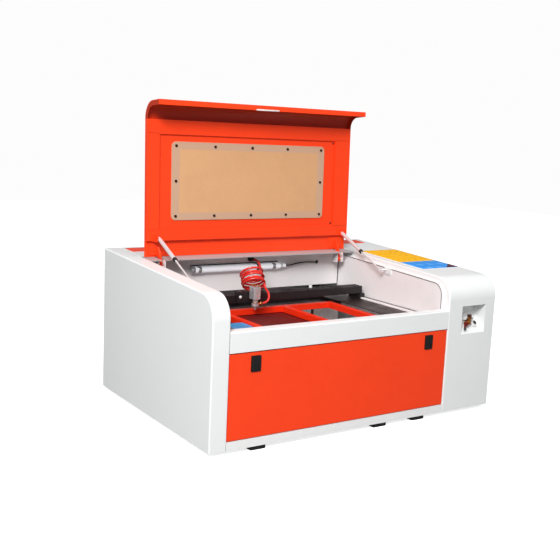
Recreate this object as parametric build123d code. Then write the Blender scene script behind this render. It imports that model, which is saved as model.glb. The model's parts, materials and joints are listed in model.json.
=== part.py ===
from build123d import *
import math
import os

# Desktop CO2 laser cutter, stored with its lid open.  Millimetres.
# X runs left to right seen from the front, Y runs front to back, Z is up.
# Everything is drawn with y = 0 on the front face of the body and z = 0 on the
# table, and write() then moves it so that the origin is the middle of the base.

# ---- driving dimensions -------------------------------------------------
WIDTH = 1000.0            # body, left to right
DEPTH = 684.0             # body, front to back
FOOT = 12.0               # height of the rubber feet
FRONT_HEIGHT = 404.4      # body height at the front edge, before its rounding
REAR_HEIGHT = 437.0       # body height at the back: the top slopes to the front
FRONT_RADIUS = 64.0       # big rounding at the front of the top
EDGE = 4.0                # small rounding along outer edges
SHEET = 2.0               # folded sheet steel
WALL_X = -448.0           # inner face of the hollow left side
CONSOLE_X = 306.0         # inner face of the console on the right
RIM_WIDTH = 9.0           # ledge that the closed lid rests on
RIM_DROP = 16.5           # ledge below the top of the body
RIM_FRONT = 25.0          # front face of the ledges, behind the lid's lip
RIM_RADIUS = 36.0
RAIL_TOP = FOOT + 312.0   # top of the rail across the front
BED_LEVEL = FOOT + 280.0  # top of the work clamp frame
PLATE_TOP = FOOT + 288.0  # top of the black covers beside the bed
BACK_WALL_Y = 537.0       # visible back wall of the work chamber
PROUD = 2.5               # latch paddles stand this far in front of the door
SPIGOT_LENGTH = 55.0      # exhaust spigot behind the rear panel

LID_X0, LID_X1 = -444.5, 300.5
LID_THICK = 15.0
LID_REAR = 461.0          # rear edge of the closed lid
LID_FRONT = 8.0           # front face of the closed lid
LID_RADIUS = 50.0
LID_OPEN_ANGLE = 94.4     # degrees from closed to the stop of the gas struts
LID_OPEN_REAR = (520.0, FOOT + 430.0)   # where its rear edge stands when open
LID_TILT = 1.67           # degrees that the open lid leans back

DOOR_X0, DOOR_X1 = -447.0, 301.4
DOOR_Z0, DOOR_Z1 = 38.0, 266.0
DOOR_DEPTH = 18.0
DOOR_PIVOT = (0.5, 36.8)  # y, z of the hinge line under the door

GANTRY_Y = 371.0          # front face of the cross beam
BEAM_DEPTH, BEAM_HEIGHT = 40.0, 24.0
BEAM_Z = FOOT + 303.0     # underside of the cross beam
HEAD_X = -160.0           # middle of the laser head on the beam
HEAD_Y = 343.0
OPTIC_Z = FOOT + 346.0    # height of the laser beam's path

STRUT_X = 340.0           # struts stand this far either side of LID_MIDDLE
LID_MIDDLE = (LID_X0 + LID_X1) / 2
STRUT_WALL = (282.0, FOOT + 394.0)      # y, z of the strut pivot on the wall
STRUT_LID = (489.0, FOOT + 488.0)       # y, z of the strut stud on the open lid

Y_MIDDLE = (DEPTH + SPIGOT_LENGTH - PROUD) / 2


# ---- helpers ------------------------------------------------------------
def top(y):
    """Height of the sloping top of the body at depth y."""
    return FOOT + FRONT_HEIGHT + (REAR_HEIGHT - FRONT_HEIGHT) * y / DEPTH


def block(x0, x1, y0, y1, z0, z1):
    """Box between two corners."""
    return Pos((x0 + x1) / 2, (y0 + y1) / 2, (z0 + z1) / 2) * Box(x1 - x0, y1 - y0, z1 - z0)


def bar(start, end, radius):
    """Round bar from one point to another."""
    run = Vector(*end) - Vector(*start)
    place = Plane(origin=start, z_dir=run)
    return place * Cylinder(radius, run.length, align=(Align.CENTER, Align.CENTER, Align.MIN))


def ring(start, end, radius, bore):
    """Round tube from one point to another."""
    return bar(start, end, radius) - bar(start, end, bore)


def slab(points, x0, x1):
    """Outline of (y, z) points carried from x0 to x1."""
    face = make_face(Polyline(*points, close=True).edges())
    return extrude(Plane.YZ.offset(x0) * face, x1 - x0)


def round_box(x0, x1, y0, y1, z0, z1, radius):
    """Box with its upright edges rounded."""
    solid = block(x0, x1, y0, y1, z0, z1)
    return fillet(solid.edges().filter_by(Axis.Z), radius)


def side_form(front, rear, low, drop, radius, x0, x1):
    """Side view of the body, drawn in by front and drop, as a solid."""
    outline = [(front, low), (front, top(front) - drop), (rear, top(rear) - drop), (rear, low)]
    face = make_face(Polyline(*outline, close=True).edges())
    corner = face.vertices().group_by(Axis.X)[0].sort_by(Axis.Y)[-1]
    face = fillet(corner, radius)
    return extrude(Plane.YZ.offset(x0) * face, x1 - x0)


def lid_form(inset, x0, x1, rear=LID_REAR, tip=RAIL_TOP + 2):
    """Region under the closed lid's outer skin, drawn in by inset."""
    front = LID_FRONT + inset
    outline = [(rear, tip), (rear, top(rear) - inset), (front, top(front) - inset), (front, tip)]
    face = make_face(Polyline(*outline, close=True).edges())
    corner = face.vertices().group_by(Axis.X)[0].sort_by(Axis.Y)[-1]
    face = fillet(corner, LID_RADIUS - inset)
    return extrude(Plane.YZ.offset(x0) * face, x1 - x0)


def lid_pivot():
    """Hinge line that carries the closed lid's rear edge to its open place."""
    cy, cz = LID_REAR, top(LID_REAR)
    oy, oz = LID_OPEN_REAR
    half = math.radians(LID_OPEN_ANGLE) / 2
    lift = 0.5 / math.tan(half)
    return ((cy + oy) / 2 + lift * (oz - cz), (cz + oz) / 2 - lift * (oy - cy))


PIVOT_Y, PIVOT_Z = lid_pivot()


def open_lid(shape):
    """Turn a shape drawn on the closed lid to the open lid."""
    return Pos(0, PIVOT_Y, PIVOT_Z) * Rot(-LID_OPEN_ANGLE, 0, 0) * Pos(0, -PIVOT_Y, -PIVOT_Z) * shape


def write(name, shape):
    """Move a shape into the part's frame and write it."""
    export_step(Pos(0, -Y_MIDDLE, 0) * shape, f"parts/{name}.step")


# ---- body panels --------------------------------------------------------
def base_pan():
    """Floor sheet with vent slots, folded up behind the sill."""
    pan = block(-497.5, 497.5, 3.2, 681, FOOT, FOOT + 3)
    slots = [block(x - 40, x + 40, y - 4, y + 4, FOOT - 1, FOOT + 4)
             for x in (-300, -150, 0, 150) for y in (560, 580, 600)]
    return pan - slots


def left_cover():
    """Hollow left side of the body."""
    solid = side_form(0, DEPTH, FOOT, 0, FRONT_RADIUS, -WIDTH / 2, WALL_X)
    solid = soften(solid, -WIDTH / 2)
    solid = soften(solid, WALL_X)
    inner = side_form(SHEET, DEPTH - SHEET, FOOT - 1, SHEET, FRONT_RADIUS - SHEET,
                      -WIDTH / 2 + SHEET, WALL_X - SHEET)
    foot_gap = block(-WIDTH / 2 + SHEET, WALL_X + 1, SHEET, DEPTH - SHEET, FOOT - 1, FOOT + 4)
    return solid - inner - foot_gap


def soften(solid, x):
    """Round the top edge of a side cover where its side lies at x."""
    edges = [e for e in solid.edges()
             if abs(e.center().X - x) < 0.1 and e.center().Z > FOOT + 150
             and abs(e.center().Y - DEPTH) > 1]
    return fillet(edges, EDGE)


def console_cover():
    """Hollow console on the right, with the gas pocket and the tube cover's notch."""
    solid = side_form(0, DEPTH, FOOT, 0, FRONT_RADIUS, CONSOLE_X, WIDTH / 2)
    solid = soften(solid, WIDTH / 2)
    solid = soften(solid, CONSOLE_X)
    inner = side_form(SHEET, DEPTH - SHEET, FOOT - 1, SHEET, FRONT_RADIUS - SHEET,
                      CONSOLE_X + SHEET, WIDTH / 2 - SHEET)
    foot_gap = block(CONSOLE_X - 1, WIDTH / 2 - SHEET, SHEET, DEPTH - SHEET, FOOT - 1, FOOT + 4)
    pocket_wall = slab(pocket_outline(SHEET), POCKET_X0 - SHEET, POCKET_X1 + SHEET)
    pocket = slab(pocket_outline(0), POCKET_X0, POCKET_X1)
    notch = tube_notch(CONSOLE_X - 1, TUBE_COVER_X1 + 1)
    rear_holes = [block(INLET_X - 16.1, INLET_X + 16.1, DEPTH - 3, DEPTH + 1, INLET_Z - 12.1, INLET_Z + 12.1),
                  block(SWITCH_X - 7.6, SWITCH_X + 7.6, DEPTH - 3, DEPTH + 1, SWITCH_Z - 13.8, SWITCH_Z + 13.8)]
    tube_hole = bar((CONSOLE_X - 1, TUBE_Y, TUBE_Z), (CONSOLE_X + 3, TUBE_Y, TUBE_Z), 30)
    return solid - (inner - pocket_wall) - foot_gap - pocket - notch - rear_holes - tube_hole


POCKET_X0, POCKET_X1 = 361.0, 459.0
POCKET_Z0, POCKET_Z1 = FOOT + 236.0, FOOT + 322.0
POCKET_DEEP = 44.0
POCKET_STEP = 34.0        # upright wall at the back of the pocket, above the sloping floor


def pocket_outline(wall):
    """Side view of the gas pocket: a deep top and a floor that climbs to the back."""
    return [(-1, POCKET_Z0 - wall), (-1, POCKET_Z1 + wall), (POCKET_DEEP + wall, POCKET_Z1 + wall),
            (POCKET_DEEP + wall, POCKET_Z1 - POCKET_STEP - wall), (0.5, POCKET_Z0 - wall)]


def off_pocket_floor(x, y, height):
    """Point at a height square off the pocket's sloping floor."""
    rise = POCKET_Z1 - POCKET_STEP - POCKET_Z0
    length = math.hypot(POCKET_DEEP, rise)
    z = POCKET_Z0 + rise * y / POCKET_DEEP
    return (x, y - height * rise / length, z + height * POCKET_DEEP / length)


TUBE_COVER_X0, TUBE_COVER_X1 = -438.5, 468.5
TUBE_COVER_Y0, TUBE_COVER_Y1 = 611.5, 667.5


def tube_notch(x0, x1):
    """Space cut through the top for the laser tube's cover."""
    return block(x0, x1, TUBE_COVER_Y0 - 1.5, TUBE_COVER_Y1 + 1.5, FOOT + 400, FOOT + 450)


def front_rail():
    """Folded rail across the front between the chamber and the door."""
    solid = block(WALL_X + 0.2, CONSOLE_X - 0.2, 0, 36, 269, RAIL_TOP)
    solid = fillet(solid.edges().filter_by(Axis.X).sort_by(Axis.Z)[-2:], EDGE)
    return solid - block(WALL_X + 0.1, CONSOLE_X - 0.1, SHEET, 34, 268, RAIL_TOP - SHEET)


def front_sill():
    """Angle under the door."""
    face = block(WALL_X + 0.2, CONSOLE_X - 0.2, 0, 2.8, FOOT, 35.5)
    return face + block(WALL_X + 0.2, CONSOLE_X - 0.2, 0, 30, 33.5, 35.5)


EXHAUST_X, EXHAUST_Z = -120.0, 170.0
EXHAUST_RADIUS = 50.0


def rear_panel():
    """Back sheet with the exhaust hole and a screwed seam."""
    sheet = slab([(681, FOOT + 4), (DEPTH, FOOT + 4), (DEPTH, top(DEPTH) - 3), (681, top(681) - 3)],
                 WALL_X + 0.2, CONSOLE_X - 0.2)
    hole = bar((EXHAUST_X, 670, EXHAUST_Z), (EXHAUST_X, 700, EXHAUST_Z), EXHAUST_RADIUS - 2)
    louvres = [block(40, 140, 670, 700, z, z + 5) for z in range(90, 250, 16)]
    return sheet - hole - louvres


HINGE_XS = (-403.5, 259.5)


def rear_deck():
    """Fixed strip of the top behind the lid, slotted for the hinge arms."""
    rear = DEPTH
    sheet = slab([(466, top(466) - 2.5), (466, top(466)), (rear, top(rear)), (rear, top(rear) - 2.5)],
                 WALL_X + 0.2, CONSOLE_X - 0.2)
    slots = [block(x - 8, x + 8, 460, 531, FOOT + 380, FOOT + 450) for x in HINGE_XS]
    return sheet - slots - tube_notch(TUBE_COVER_X0 - 1, CONSOLE_X)


def inner_back_wall():
    """Pale wall behind the work chamber, with the beam hole."""
    z1 = top(BACK_WALL_Y) - 3
    wall = block(WALL_X + 0.3, CONSOLE_X - RIM_WIDTH - 4, BACK_WALL_Y, BACK_WALL_Y + 2.5, FOOT + 308, z1)
    beam_hole = bar((MIRROR_X, 530, OPTIC_Z), (MIRROR_X, 545, OPTIC_Z), 9)
    cable_hole = bar((LED_HOLE_X, 530, LED_Z + 4), (LED_HOLE_X, 545, LED_Z + 4), 6.5)
    return wall - beam_hole - cable_hole


def rim(side):
    """Ledge for the lid and the chamber's side wall below it."""
    outer_x = WALL_X + 0.2 if side < 0 else CONSOLE_X - 0.2
    inner_x = outer_x - side * RIM_WIDTH
    x0, x1 = sorted((outer_x, inner_x))
    solid = side_form(RIM_FRONT, BACK_WALL_Y - 1, FOOT + 288, RIM_DROP, RIM_RADIUS, x0, x1)
    x0, x1 = sorted((outer_x + side, inner_x + side * SHEET))
    hollow = side_form(RIM_FRONT + SHEET, BACK_WALL_Y + 1, FOOT + 287, RIM_DROP + SHEET,
                       RIM_RADIUS - SHEET, x0, x1)
    rail_gap = block(-500, 500, 0, 36.4, FOOT + 280, RAIL_TOP + 0.4)
    return solid - hollow - rail_gap


def rubber_feet():
    """Six low rubber pads under the base."""
    return [round_box(x - 24, x + 24, y, y + 30, 0, FOOT, 4)
            for x in (-348, 68, 215) for y in (4, DEPTH - 60)]


# ---- bed and work clamp -------------------------------------------------
def work_bed():
    """Steel sheet under the left bay of the clamp frame, on folded edges."""
    sheet = block(-266, -20, 60, 394, BED_LEVEL - 23, BED_LEVEL - 20)
    lips = [block(-266, -20, y, y + 3, BED_LEVEL - 40, BED_LEVEL - 22) for y in (60, 391)]
    return sheet + lips


CLAMP_TUBE = 19.0
CLAMP_Y0, CLAMP_Y1 = 62.0, 396.0
CLAMP_STILES = (-258.0, -28.0, 151.0)


def clamp_tube(x0, x1, y0, y1):
    """One painted square tube of the clamp frame."""
    solid = block(x0, x1, y0, y1, BED_LEVEL - CLAMP_TUBE, BED_LEVEL)
    along = Axis.X if x1 - x0 > y1 - y0 else Axis.Y
    return fillet(solid.edges().filter_by(along), 2)


def clamp_rails():
    """Front and back tubes of the work clamp frame."""
    x0, x1 = CLAMP_STILES[0] - CLAMP_TUBE / 2, CLAMP_STILES[-1] + CLAMP_TUBE / 2
    return [clamp_tube(x0, x1, CLAMP_Y0, CLAMP_Y0 + CLAMP_TUBE),
            clamp_tube(x0, x1, CLAMP_Y1 - CLAMP_TUBE, CLAMP_Y1)]


def clamp_stiles():
    """Left, middle and right tubes of the work clamp frame."""
    half = CLAMP_TUBE / 2
    return [clamp_tube(x - half, x + half, CLAMP_Y0 + CLAMP_TUBE, CLAMP_Y1 - CLAMP_TUBE)
            for x in CLAMP_STILES]


Y_RAIL_XS = (-415.0, 271.0)


def rail_covers():
    """Black sheets that hide the drive on the right and at the back."""
    right = block(163, 258, 40, 460, PLATE_TOP - 2, PLATE_TOP)
    back = block(-403, 258, 462, 533, PLATE_TOP - 2, PLATE_TOP)
    apron = block(-403, 161, 398, 461, PLATE_TOP - 14, PLATE_TOP - 12)
    return [right, back, apron]


def y_rails():
    """Two linear guide rails on square tubes, front to back."""
    rails = []
    for x in Y_RAIL_XS:
        tube = block(x - 9, x + 9, 38, 534, BED_LEVEL - 16, BED_LEVEL + 3)
        rails.append(tube + block(x - 5, x + 5, 40, 532, BED_LEVEL + 3, BED_LEVEL + 10))
    return rails


def y_motor():
    """Stepper motor that turns the drive shaft."""
    body = block(210, 252, 488, 530, FOOT + 200, FOOT + 256)
    body = chamfer(body.edges().filter_by(Axis.Z), 4)
    return body + bar((231, 509, FOOT + 256), (231, 509, FOOT + 261), 11)


SHAFT_Y, SHAFT_Z = 509.0, FOOT + 272.0
PULLEY_RADIUS = 7.0


def drive_shaft():
    """Cross shaft with a toothed pulley beside each rail."""
    shaft = bar((-400, SHAFT_Y, SHAFT_Z), (256, SHAFT_Y, SHAFT_Z), 4)
    for x in (-396, 248):
        shaft += bar((x - 5, SHAFT_Y, SHAFT_Z), (x + 5, SHAFT_Y, SHAFT_Z), PULLEY_RADIUS)
        shaft += bar((x - 6.5, SHAFT_Y, SHAFT_Z), (x - 5, SHAFT_Y, SHAFT_Z), PULLEY_RADIUS + 2)
    return shaft


# ---- laser, power and control -------------------------------------------
TUBE_Y, TUBE_Z = 636.0, FOOT + 374.0


def laser_tube():
    """Glass laser tube with its water jacket."""
    jacket = bar((-330, TUBE_Y, TUBE_Z), (390, TUBE_Y, TUBE_Z), 25)
    ends = bar((-372, TUBE_Y, TUBE_Z), (-330, TUBE_Y, TUBE_Z), 13)
    ends += bar((390, TUBE_Y, TUBE_Z), (430, TUBE_Y, TUBE_Z), 13)
    return jacket + ends


def tube_holders():
    """Two clamps that carry the laser tube."""
    holders = []
    for x in (-220, 280):
        body = block(x - 9, x + 9, TUBE_Y - 32, TUBE_Y + 32, TUBE_Z - 44, TUBE_Z + 32)
        post = block(x - 9, x + 9, TUBE_Y - 12, TUBE_Y + 12, FOOT + 3.2, TUBE_Z - 44)
        bore = bar((x - 10, TUBE_Y, TUBE_Z), (x + 10, TUBE_Y, TUBE_Z), 25.1)
        holders.append(body + post - bore)
    return holders


def power_supply():
    """High-voltage supply in its vented case inside the console."""
    case = block(335, 465, 300, 560, FOOT + 3.2, FOOT + 100)
    case = fillet(case.edges().filter_by(Axis.Z), 3)
    return case - [block(340, 460, y, y + 6, FOOT + 96, FOOT + 101) for y in range(320, 540, 18)]


def control_board():
    """Motion controller on the console wall."""
    board = block(312, 315, 220, 380, FOOT + 190, FOOT + 290)
    chips = [block(315, 321, y, y + 26, FOOT + 205 + dz, FOOT + 228 + dz)
             for y in (230, 270, 310, 345) for dz in (0, 45)]
    return board + chips


PANEL_X0, PANEL_X1 = 336.0, 490.0
PANEL_Y0, PANEL_Y1 = 157.0, 467.0


def control_panel():
    """Membrane keypad on the sloping top of the console."""
    outline = [(PANEL_Y0, top(PANEL_Y0)), (PANEL_Y0, top(PANEL_Y0) + 1.2),
               (PANEL_Y1, top(PANEL_Y1) + 1.2), (PANEL_Y1, top(PANEL_Y1))]
    return fillet(slab(outline, PANEL_X0, PANEL_X1).edges().filter_by(Axis.Z), 5)


INLET_X, INLET_Z = 410.0, 76.0


def power_inlet():
    """Mains inlet low on the back of the console."""
    x, z = INLET_X, INLET_Z
    body = block(x - 20, x + 20, DEPTH, DEPTH + 3, z - 16, z + 16)
    body += block(x - 16, x + 16, DEPTH - 22, DEPTH, z - 12, z + 12)
    return body - block(x - 13, x + 13, DEPTH - 14, DEPTH + 4, z - 9, z + 9)


SWITCH_X, SWITCH_Z = 410.0, 130.0
SWITCH_TILT = 6.0


def power_switch():
    """Rocker of the mains switch, pivoted across its middle and stored in the off position."""
    outline = [(-6, -11), (3.5, -11), (1.5, 0), (3.5, 11), (-6, 11)]
    rocker = Rot(SWITCH_TILT, 0, 0) * slab(outline, -7, 7)
    return Pos(SWITCH_X, DEPTH, SWITCH_Z) * rocker


def exhaust_spigot():
    """Flanged tube that takes a 100 mm smoke hose."""
    tube = ring((EXHAUST_X, DEPTH, EXHAUST_Z), (EXHAUST_X, DEPTH + SPIGOT_LENGTH, EXHAUST_Z),
                EXHAUST_RADIUS, EXHAUST_RADIUS - 2)
    flange = ring((EXHAUST_X, DEPTH, EXHAUST_Z), (EXHAUST_X, DEPTH + 2, EXHAUST_Z),
                  EXHAUST_RADIUS + 14, EXHAUST_RADIUS - 2)
    return tube + flange


MIRROR_X = -390.0


def first_mirror():
    """Mirror mount in the rear compartment that turns the beam forward."""
    post = block(MIRROR_X - 14, MIRROR_X + 14, 574, 600, FOOT + 3.2, OPTIC_Z - 20)
    return post + block(MIRROR_X - 20, MIRROR_X + 20, 568, 604, OPTIC_Z - 20, OPTIC_Z + 20)


# ---- work light, air and gas fittings -----------------------------------
LED_X0, LED_X1 = -282.0, 43.0
LED_Y, LED_Z = 524.0, FOOT + 382.0
LED_HOLE_X = 204.0


def led_tube():
    """Tubular work light on two clips."""
    tube = bar((LED_X0, LED_Y, LED_Z), (LED_X1, LED_Y, LED_Z), 9)
    cap = bar((LED_X1, LED_Y, LED_Z), (LED_X1 + 22, LED_Y, LED_Z), 6)
    clips = [block(x - 6, x + 6, LED_Y + 6, BACK_WALL_Y - 0.1, LED_Z - 8, LED_Z + 8)
             for x in (LED_X0 + 20, LED_X1 - 30)]
    return tube + cap + clips


LED_ROUTE = [(65, 524, LED_Z), (86, 524, LED_Z), (110, 526, LED_Z + 4), (137, 527, LED_Z + 7),
             (161, 526.5, LED_Z + 7), (180, 527, LED_Z + 5.5), (194, 531, LED_Z + 4.5),
             (203.5, 540, LED_Z + 4)]
LED_LEAD_RADIUS = 2.0


def run_radii(route):
    """Radius of each arc: 0.45 of the shorter run over the tangent of half the turn."""
    radii = []
    for before, here, after in zip(route, route[1:], route[2:]):
        one = Vector(*here) - Vector(*before)
        two = Vector(*after) - Vector(*here)
        half_turn = math.radians(one.get_angle(two)) / 2
        radii.append(0.45 * min(one.length, two.length) / math.tan(half_turn))
    return radii


def cord(name, route, radius):
    """Plain tube along a route of straight runs joined by tangent arcs."""
    radii = run_radii(route)
    path = FilletPolyline(*route, radius=radii)
    section = Plane(origin=path @ 0, z_dir=path % 0) * Circle(radius)
    tube = sweep(section, path)
    expected = math.pi * radius ** 2 * path.length
    print(name, "radii", [round(r, 1) for r in radii], "length", round(path.length, 1),
          "volume ratio", round(tube.volume / expected, 4))
    return tube


def led_lead():
    """Lead of the work light along the back wall and into its hole."""
    return cord("led_lead", LED_ROUTE, LED_LEAD_RADIUS)


HOSE_RADIUS = 3.5
FITTING_X, FITTING_Z = -64.0, FOOT + 408.0
COIL_START = (-107.0, 458.0, FOOT + 382.5)
COIL_END = (-117.0, 420.0, FOOT + 335.5)
COIL_RADIUS = 38.0


def on_turn(distance, degrees):
    """Middle of the hose in the coil, along its axis and round it from the right side, upwards."""
    along = (Vector(*COIL_END) - Vector(*COIL_START)).normalized()
    right = (Vector(1, 0, 0) - along * along.X).normalized()
    reach = right.rotate(Axis((0, 0, 0), tuple(along)), degrees) * (COIL_RADIUS - HOSE_RADIUS)
    return tuple(Vector(*COIL_START) + along * distance + reach)


COIL_LENGTH = math.dist(COIL_START, COIL_END)
HOSE_TAIL = [(FITTING_X, 514, FITTING_Z), (FITTING_X, 503.5, FITTING_Z), (-61.5, 489.5, 416),
             (-65.5, 474.5, 408.5), on_turn(-12, 0), on_turn(-0.1, 0)]
HOSE_END = [on_turn(COIL_LENGTH + 0.1, 50), on_turn(COIL_LENGTH + 11, 50), (-99.5, 379.5, 348.8),
            (-102, 366.5, 345), (-104.5, 355.5, 337), (-108, 348.5, 326), (-117, 344.5, 317.5),
            (-133, 343, 313.5), (HEAD_X + 11.2, 343, 313.5)]


def hose_fitting():
    """Push-in air fitting on the back wall."""
    nut = bar((FITTING_X, BACK_WALL_Y - 0.1, FITTING_Z), (FITTING_X, BACK_WALL_Y - 8, FITTING_Z), 9)
    return nut + bar((FITTING_X, BACK_WALL_Y - 8, FITTING_Z), (FITTING_X, 514, FITTING_Z), 6)


def air_hose_tail():
    """Air hose from its wall fitting to the coil."""
    return cord("air_hose_tail", HOSE_TAIL, HOSE_RADIUS)


def air_hose_end():
    """Air hose from the coil down beside the head to the nozzle's collar."""
    return cord("air_hose_end", HOSE_END, HOSE_RADIUS)


def air_hose_coil():
    """Outer form of the recoil hose between the wall and the laser head."""
    return bar(COIL_START, COIL_END, COIL_RADIUS)


VALVE_X, VALVE_Y = 405.0, 12.0
VALVE_Z0 = FOOT + 262.0   # underside of the valve body
HANDLE_X, HANDLE_Z = VALVE_X - 13, FOOT + 267.0


def valve_body():
    """Brass ball valve: upright body, side branch and a stub from the pocket's floor."""
    body = bar((VALVE_X, VALVE_Y, VALVE_Z0), (VALVE_X, VALVE_Y, VALVE_Z0 + 15), 6)
    neck = bar((VALVE_X, VALVE_Y, VALVE_Z0 + 14), (VALVE_X, VALVE_Y, VALVE_Z0 + 21), 4.2)
    arms = bar((VALVE_X - 10, VALVE_Y, VALVE_Z0 + 17), (VALVE_X + 12, VALVE_Y, VALVE_Z0 + 17), 2.8)
    branch = bar((VALVE_X - 18, VALVE_Y, HANDLE_Z), (VALVE_X, VALVE_Y, HANDLE_Z), 4.5)
    stub = bar(off_pocket_floor(VALVE_X, 26, 0.1), off_pocket_floor(VALVE_X, 26, 16), 4)
    return body + neck + arms + branch + stub


def valve_knob():
    """Brown cap screwed on top of the valve."""
    knob = bar((VALVE_X, VALVE_Y, VALVE_Z0 + 21.1), (VALVE_X, VALVE_Y, VALVE_Z0 + 30), 7)
    return fillet(knob.edges().filter_by(GeomType.CIRCLE), 2)


def valve_handle():
    """Wedge lever on a spindle in front of the valve's branch."""
    y = VALVE_Y - 4.7
    spindle = bar((HANDLE_X, y, HANDLE_Z), (HANDLE_X, y - 5.5, HANDLE_Z), 2.2)
    outline = [(-15.5, 4), (-11, 4), (3, 1.5), (3, -2.5), (-9, -9), (-10, -17), (-14, -17)]
    face = make_face(Polyline(*outline, close=True).edges())
    lever = extrude(Plane(origin=(HANDLE_X, y - 2.5, HANDLE_Z), x_dir=(1, 0, 0), z_dir=(0, -1, 0)) * face, 3)
    return spindle + lever


PORT_X, PORT_Y = 431.0, 20.0


def gas_port():
    """Round white escutcheon and black socket on the pocket's floor."""
    disc = bar(off_pocket_floor(PORT_X, PORT_Y, 0.1), off_pocket_floor(PORT_X, PORT_Y, 4), 12)
    return disc + bar(off_pocket_floor(PORT_X, PORT_Y, 4), off_pocket_floor(PORT_X, PORT_Y, 8), 6)


# ---- gantry and head ----------------------------------------------------
BEAM_X0, BEAM_X1 = -419.0, 272.0
BEAM_BACK = GANTRY_Y + BEAM_DEPTH
BEAM_TOP = BEAM_Z + BEAM_HEIGHT


def x_beam():
    """Extruded cross beam with a guide slot along its top."""
    beam = block(BEAM_X0, BEAM_X1, GANTRY_Y, BEAM_BACK, BEAM_Z, BEAM_TOP)
    beam = fillet(beam.edges().filter_by(Axis.X), 1.5)
    slots = [block(BEAM_X0 - 1, BEAM_X1 + 1, y, y + 6, BEAM_TOP - 4, BEAM_TOP + 1)
             for y in (GANTRY_Y + 9, GANTRY_Y + 25)]
    return beam - slots


def gantry_trolleys():
    """Plates and bearing blocks that carry the beam on the two guide rails."""
    trolleys = []
    for side, x in zip((-1, 1), Y_RAIL_XS):
        block_top = BEAM_Z - 0.2
        saddle = block(x - 10, x + 10, GANTRY_Y - 4, BEAM_BACK + 16, BED_LEVEL + 10.2, block_top)
        cheeks = [block(x + s * 7.6 - 2.4, x + s * 7.6 + 2.4, GANTRY_Y - 4, BEAM_BACK + 16,
                        BED_LEVEL + 4, BED_LEVEL + 12) for s in (-1, 1)]
        trolleys.append(saddle + cheeks)
    return trolleys


def x_motor():
    """Stepper motor behind the beam's left end, with its pulley."""
    body = block(-400, -358, BEAM_BACK + 1, BEAM_BACK + 36, BEAM_Z + 2, BEAM_Z + 40)
    body = chamfer(body.edges().filter_by(Axis.Y), 4)
    return body


def second_mirror():
    """Mirror mount on the left end of the beam."""
    x, y = MIRROR_X, GANTRY_Y + 12
    base = block(x - 14, x + 14, y - 10, y + 24, BEAM_TOP + 0.1, OPTIC_Z - 14)
    return base + block(x - 14, x + 14, y - 4, y + 14, OPTIC_Z - 14, OPTIC_Z + 14)


def carriage():
    """Black plate that rides along the beam and holds the head."""
    plate = block(HEAD_X - 52, HEAD_X + 32, GANTRY_Y - 9, GANTRY_Y - 0.3, BEAM_Z + 2, BEAM_TOP + 10)
    plate = fillet(plate.edges().filter_by(Axis.Y), 4)
    saddle = block(HEAD_X - 40, HEAD_X + 20, GANTRY_Y - 2, BEAM_BACK - 12, BEAM_TOP + 0.3, BEAM_TOP + 6)
    return plate + saddle


def laser_head():
    """Clear-anodised mirror block with the sleeve for the lens tube."""
    x, y = HEAD_X, HEAD_Y
    cube = block(x - 12, x + 12, y - 12, GANTRY_Y - 9.1, BEAM_Z + 14, OPTIC_Z + 9)
    cube = chamfer(cube.edges().filter_by(Axis.Z), 3)
    cube -= bar((x - 30, y, OPTIC_Z), (x, y, OPTIC_Z), 4)
    return cube - bar((x, y, BEAM_Z + 11), (x, y, OPTIC_Z - 2), 8.05)


def lens_tube():
    """Sliding lens tube that ends in the nozzle."""
    x, y = HEAD_X, HEAD_Y
    tube = bar((x, y, BEAM_Z - 8), (x, y, BEAM_Z + 30), 8)
    collar = bar((x, y, BEAM_Z - 6), (x, y, BEAM_Z + 2), 11)
    cone = Pos(x, y, BEAM_Z - 13) * Cone(3, 7, 10)
    bore = bar((x, y, BEAM_Z - 20), (x, y, BEAM_Z + 31), 2)
    return tube + collar + cone - bore


# ---- lid ----------------------------------------------------------------
LIP_REAR = LID_REAR - 48.0      # the liner starts this far in front of the rear edge
LIP_END = LID_FRONT + LID_RADIUS        # the liner stops where the lid rolls down into its lip
RECESS_X = (-404.0, 240.0)      # sunk field around the window
RECESS_Y = (100.0, 379.0)
WINDOW_X = (-363.0, 196.0)
WINDOW_Y = (120.0, 353.0)


def lid_shell():
    """Outer skin of the lid, rolled down into the front lip, with side flanges."""
    solid = lid_form(0, LID_X0, LID_X1)
    under = lid_form(LID_THICK, LID_X0 - 1, LID_X1 + 1, LID_REAR + 1, RAIL_TOP + 1)
    hollow = (lid_form(SHEET, LID_X0 + SHEET, LID_X1 - SHEET, LID_REAR + 1, RAIL_TOP + 4)
              - lid_form(LID_THICK + 2, LID_X0, LID_X1, LID_REAR + 2, RAIL_TOP + 3))
    rear_flange = block(LID_X0 - 1, LID_X1 + 1, LIP_REAR, LID_REAR + 1,
                        FOOT + 300, top(LID_REAR) - SHEET)
    rear_flange -= slab([(LIP_REAR - 1, top(LIP_REAR - 1) - SHEET), (LID_REAR + 2, top(LID_REAR + 2) - SHEET),
                         (LID_REAR + 2, top(LID_REAR) + 9), (LIP_REAR - 1, top(LIP_REAR) + 9)],
                        LID_X0 - 1, LID_X1 + 1)
    return open_lid(solid - under - hollow - rear_flange)


def window_cut(depth, margin):
    """Box over the window region on the closed lid."""
    return block(WINDOW_X[0] + margin, WINDOW_X[1] - margin, WINDOW_Y[0] + margin, WINDOW_Y[1] - margin,
                 FOOT + 300, FOOT + depth)


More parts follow.
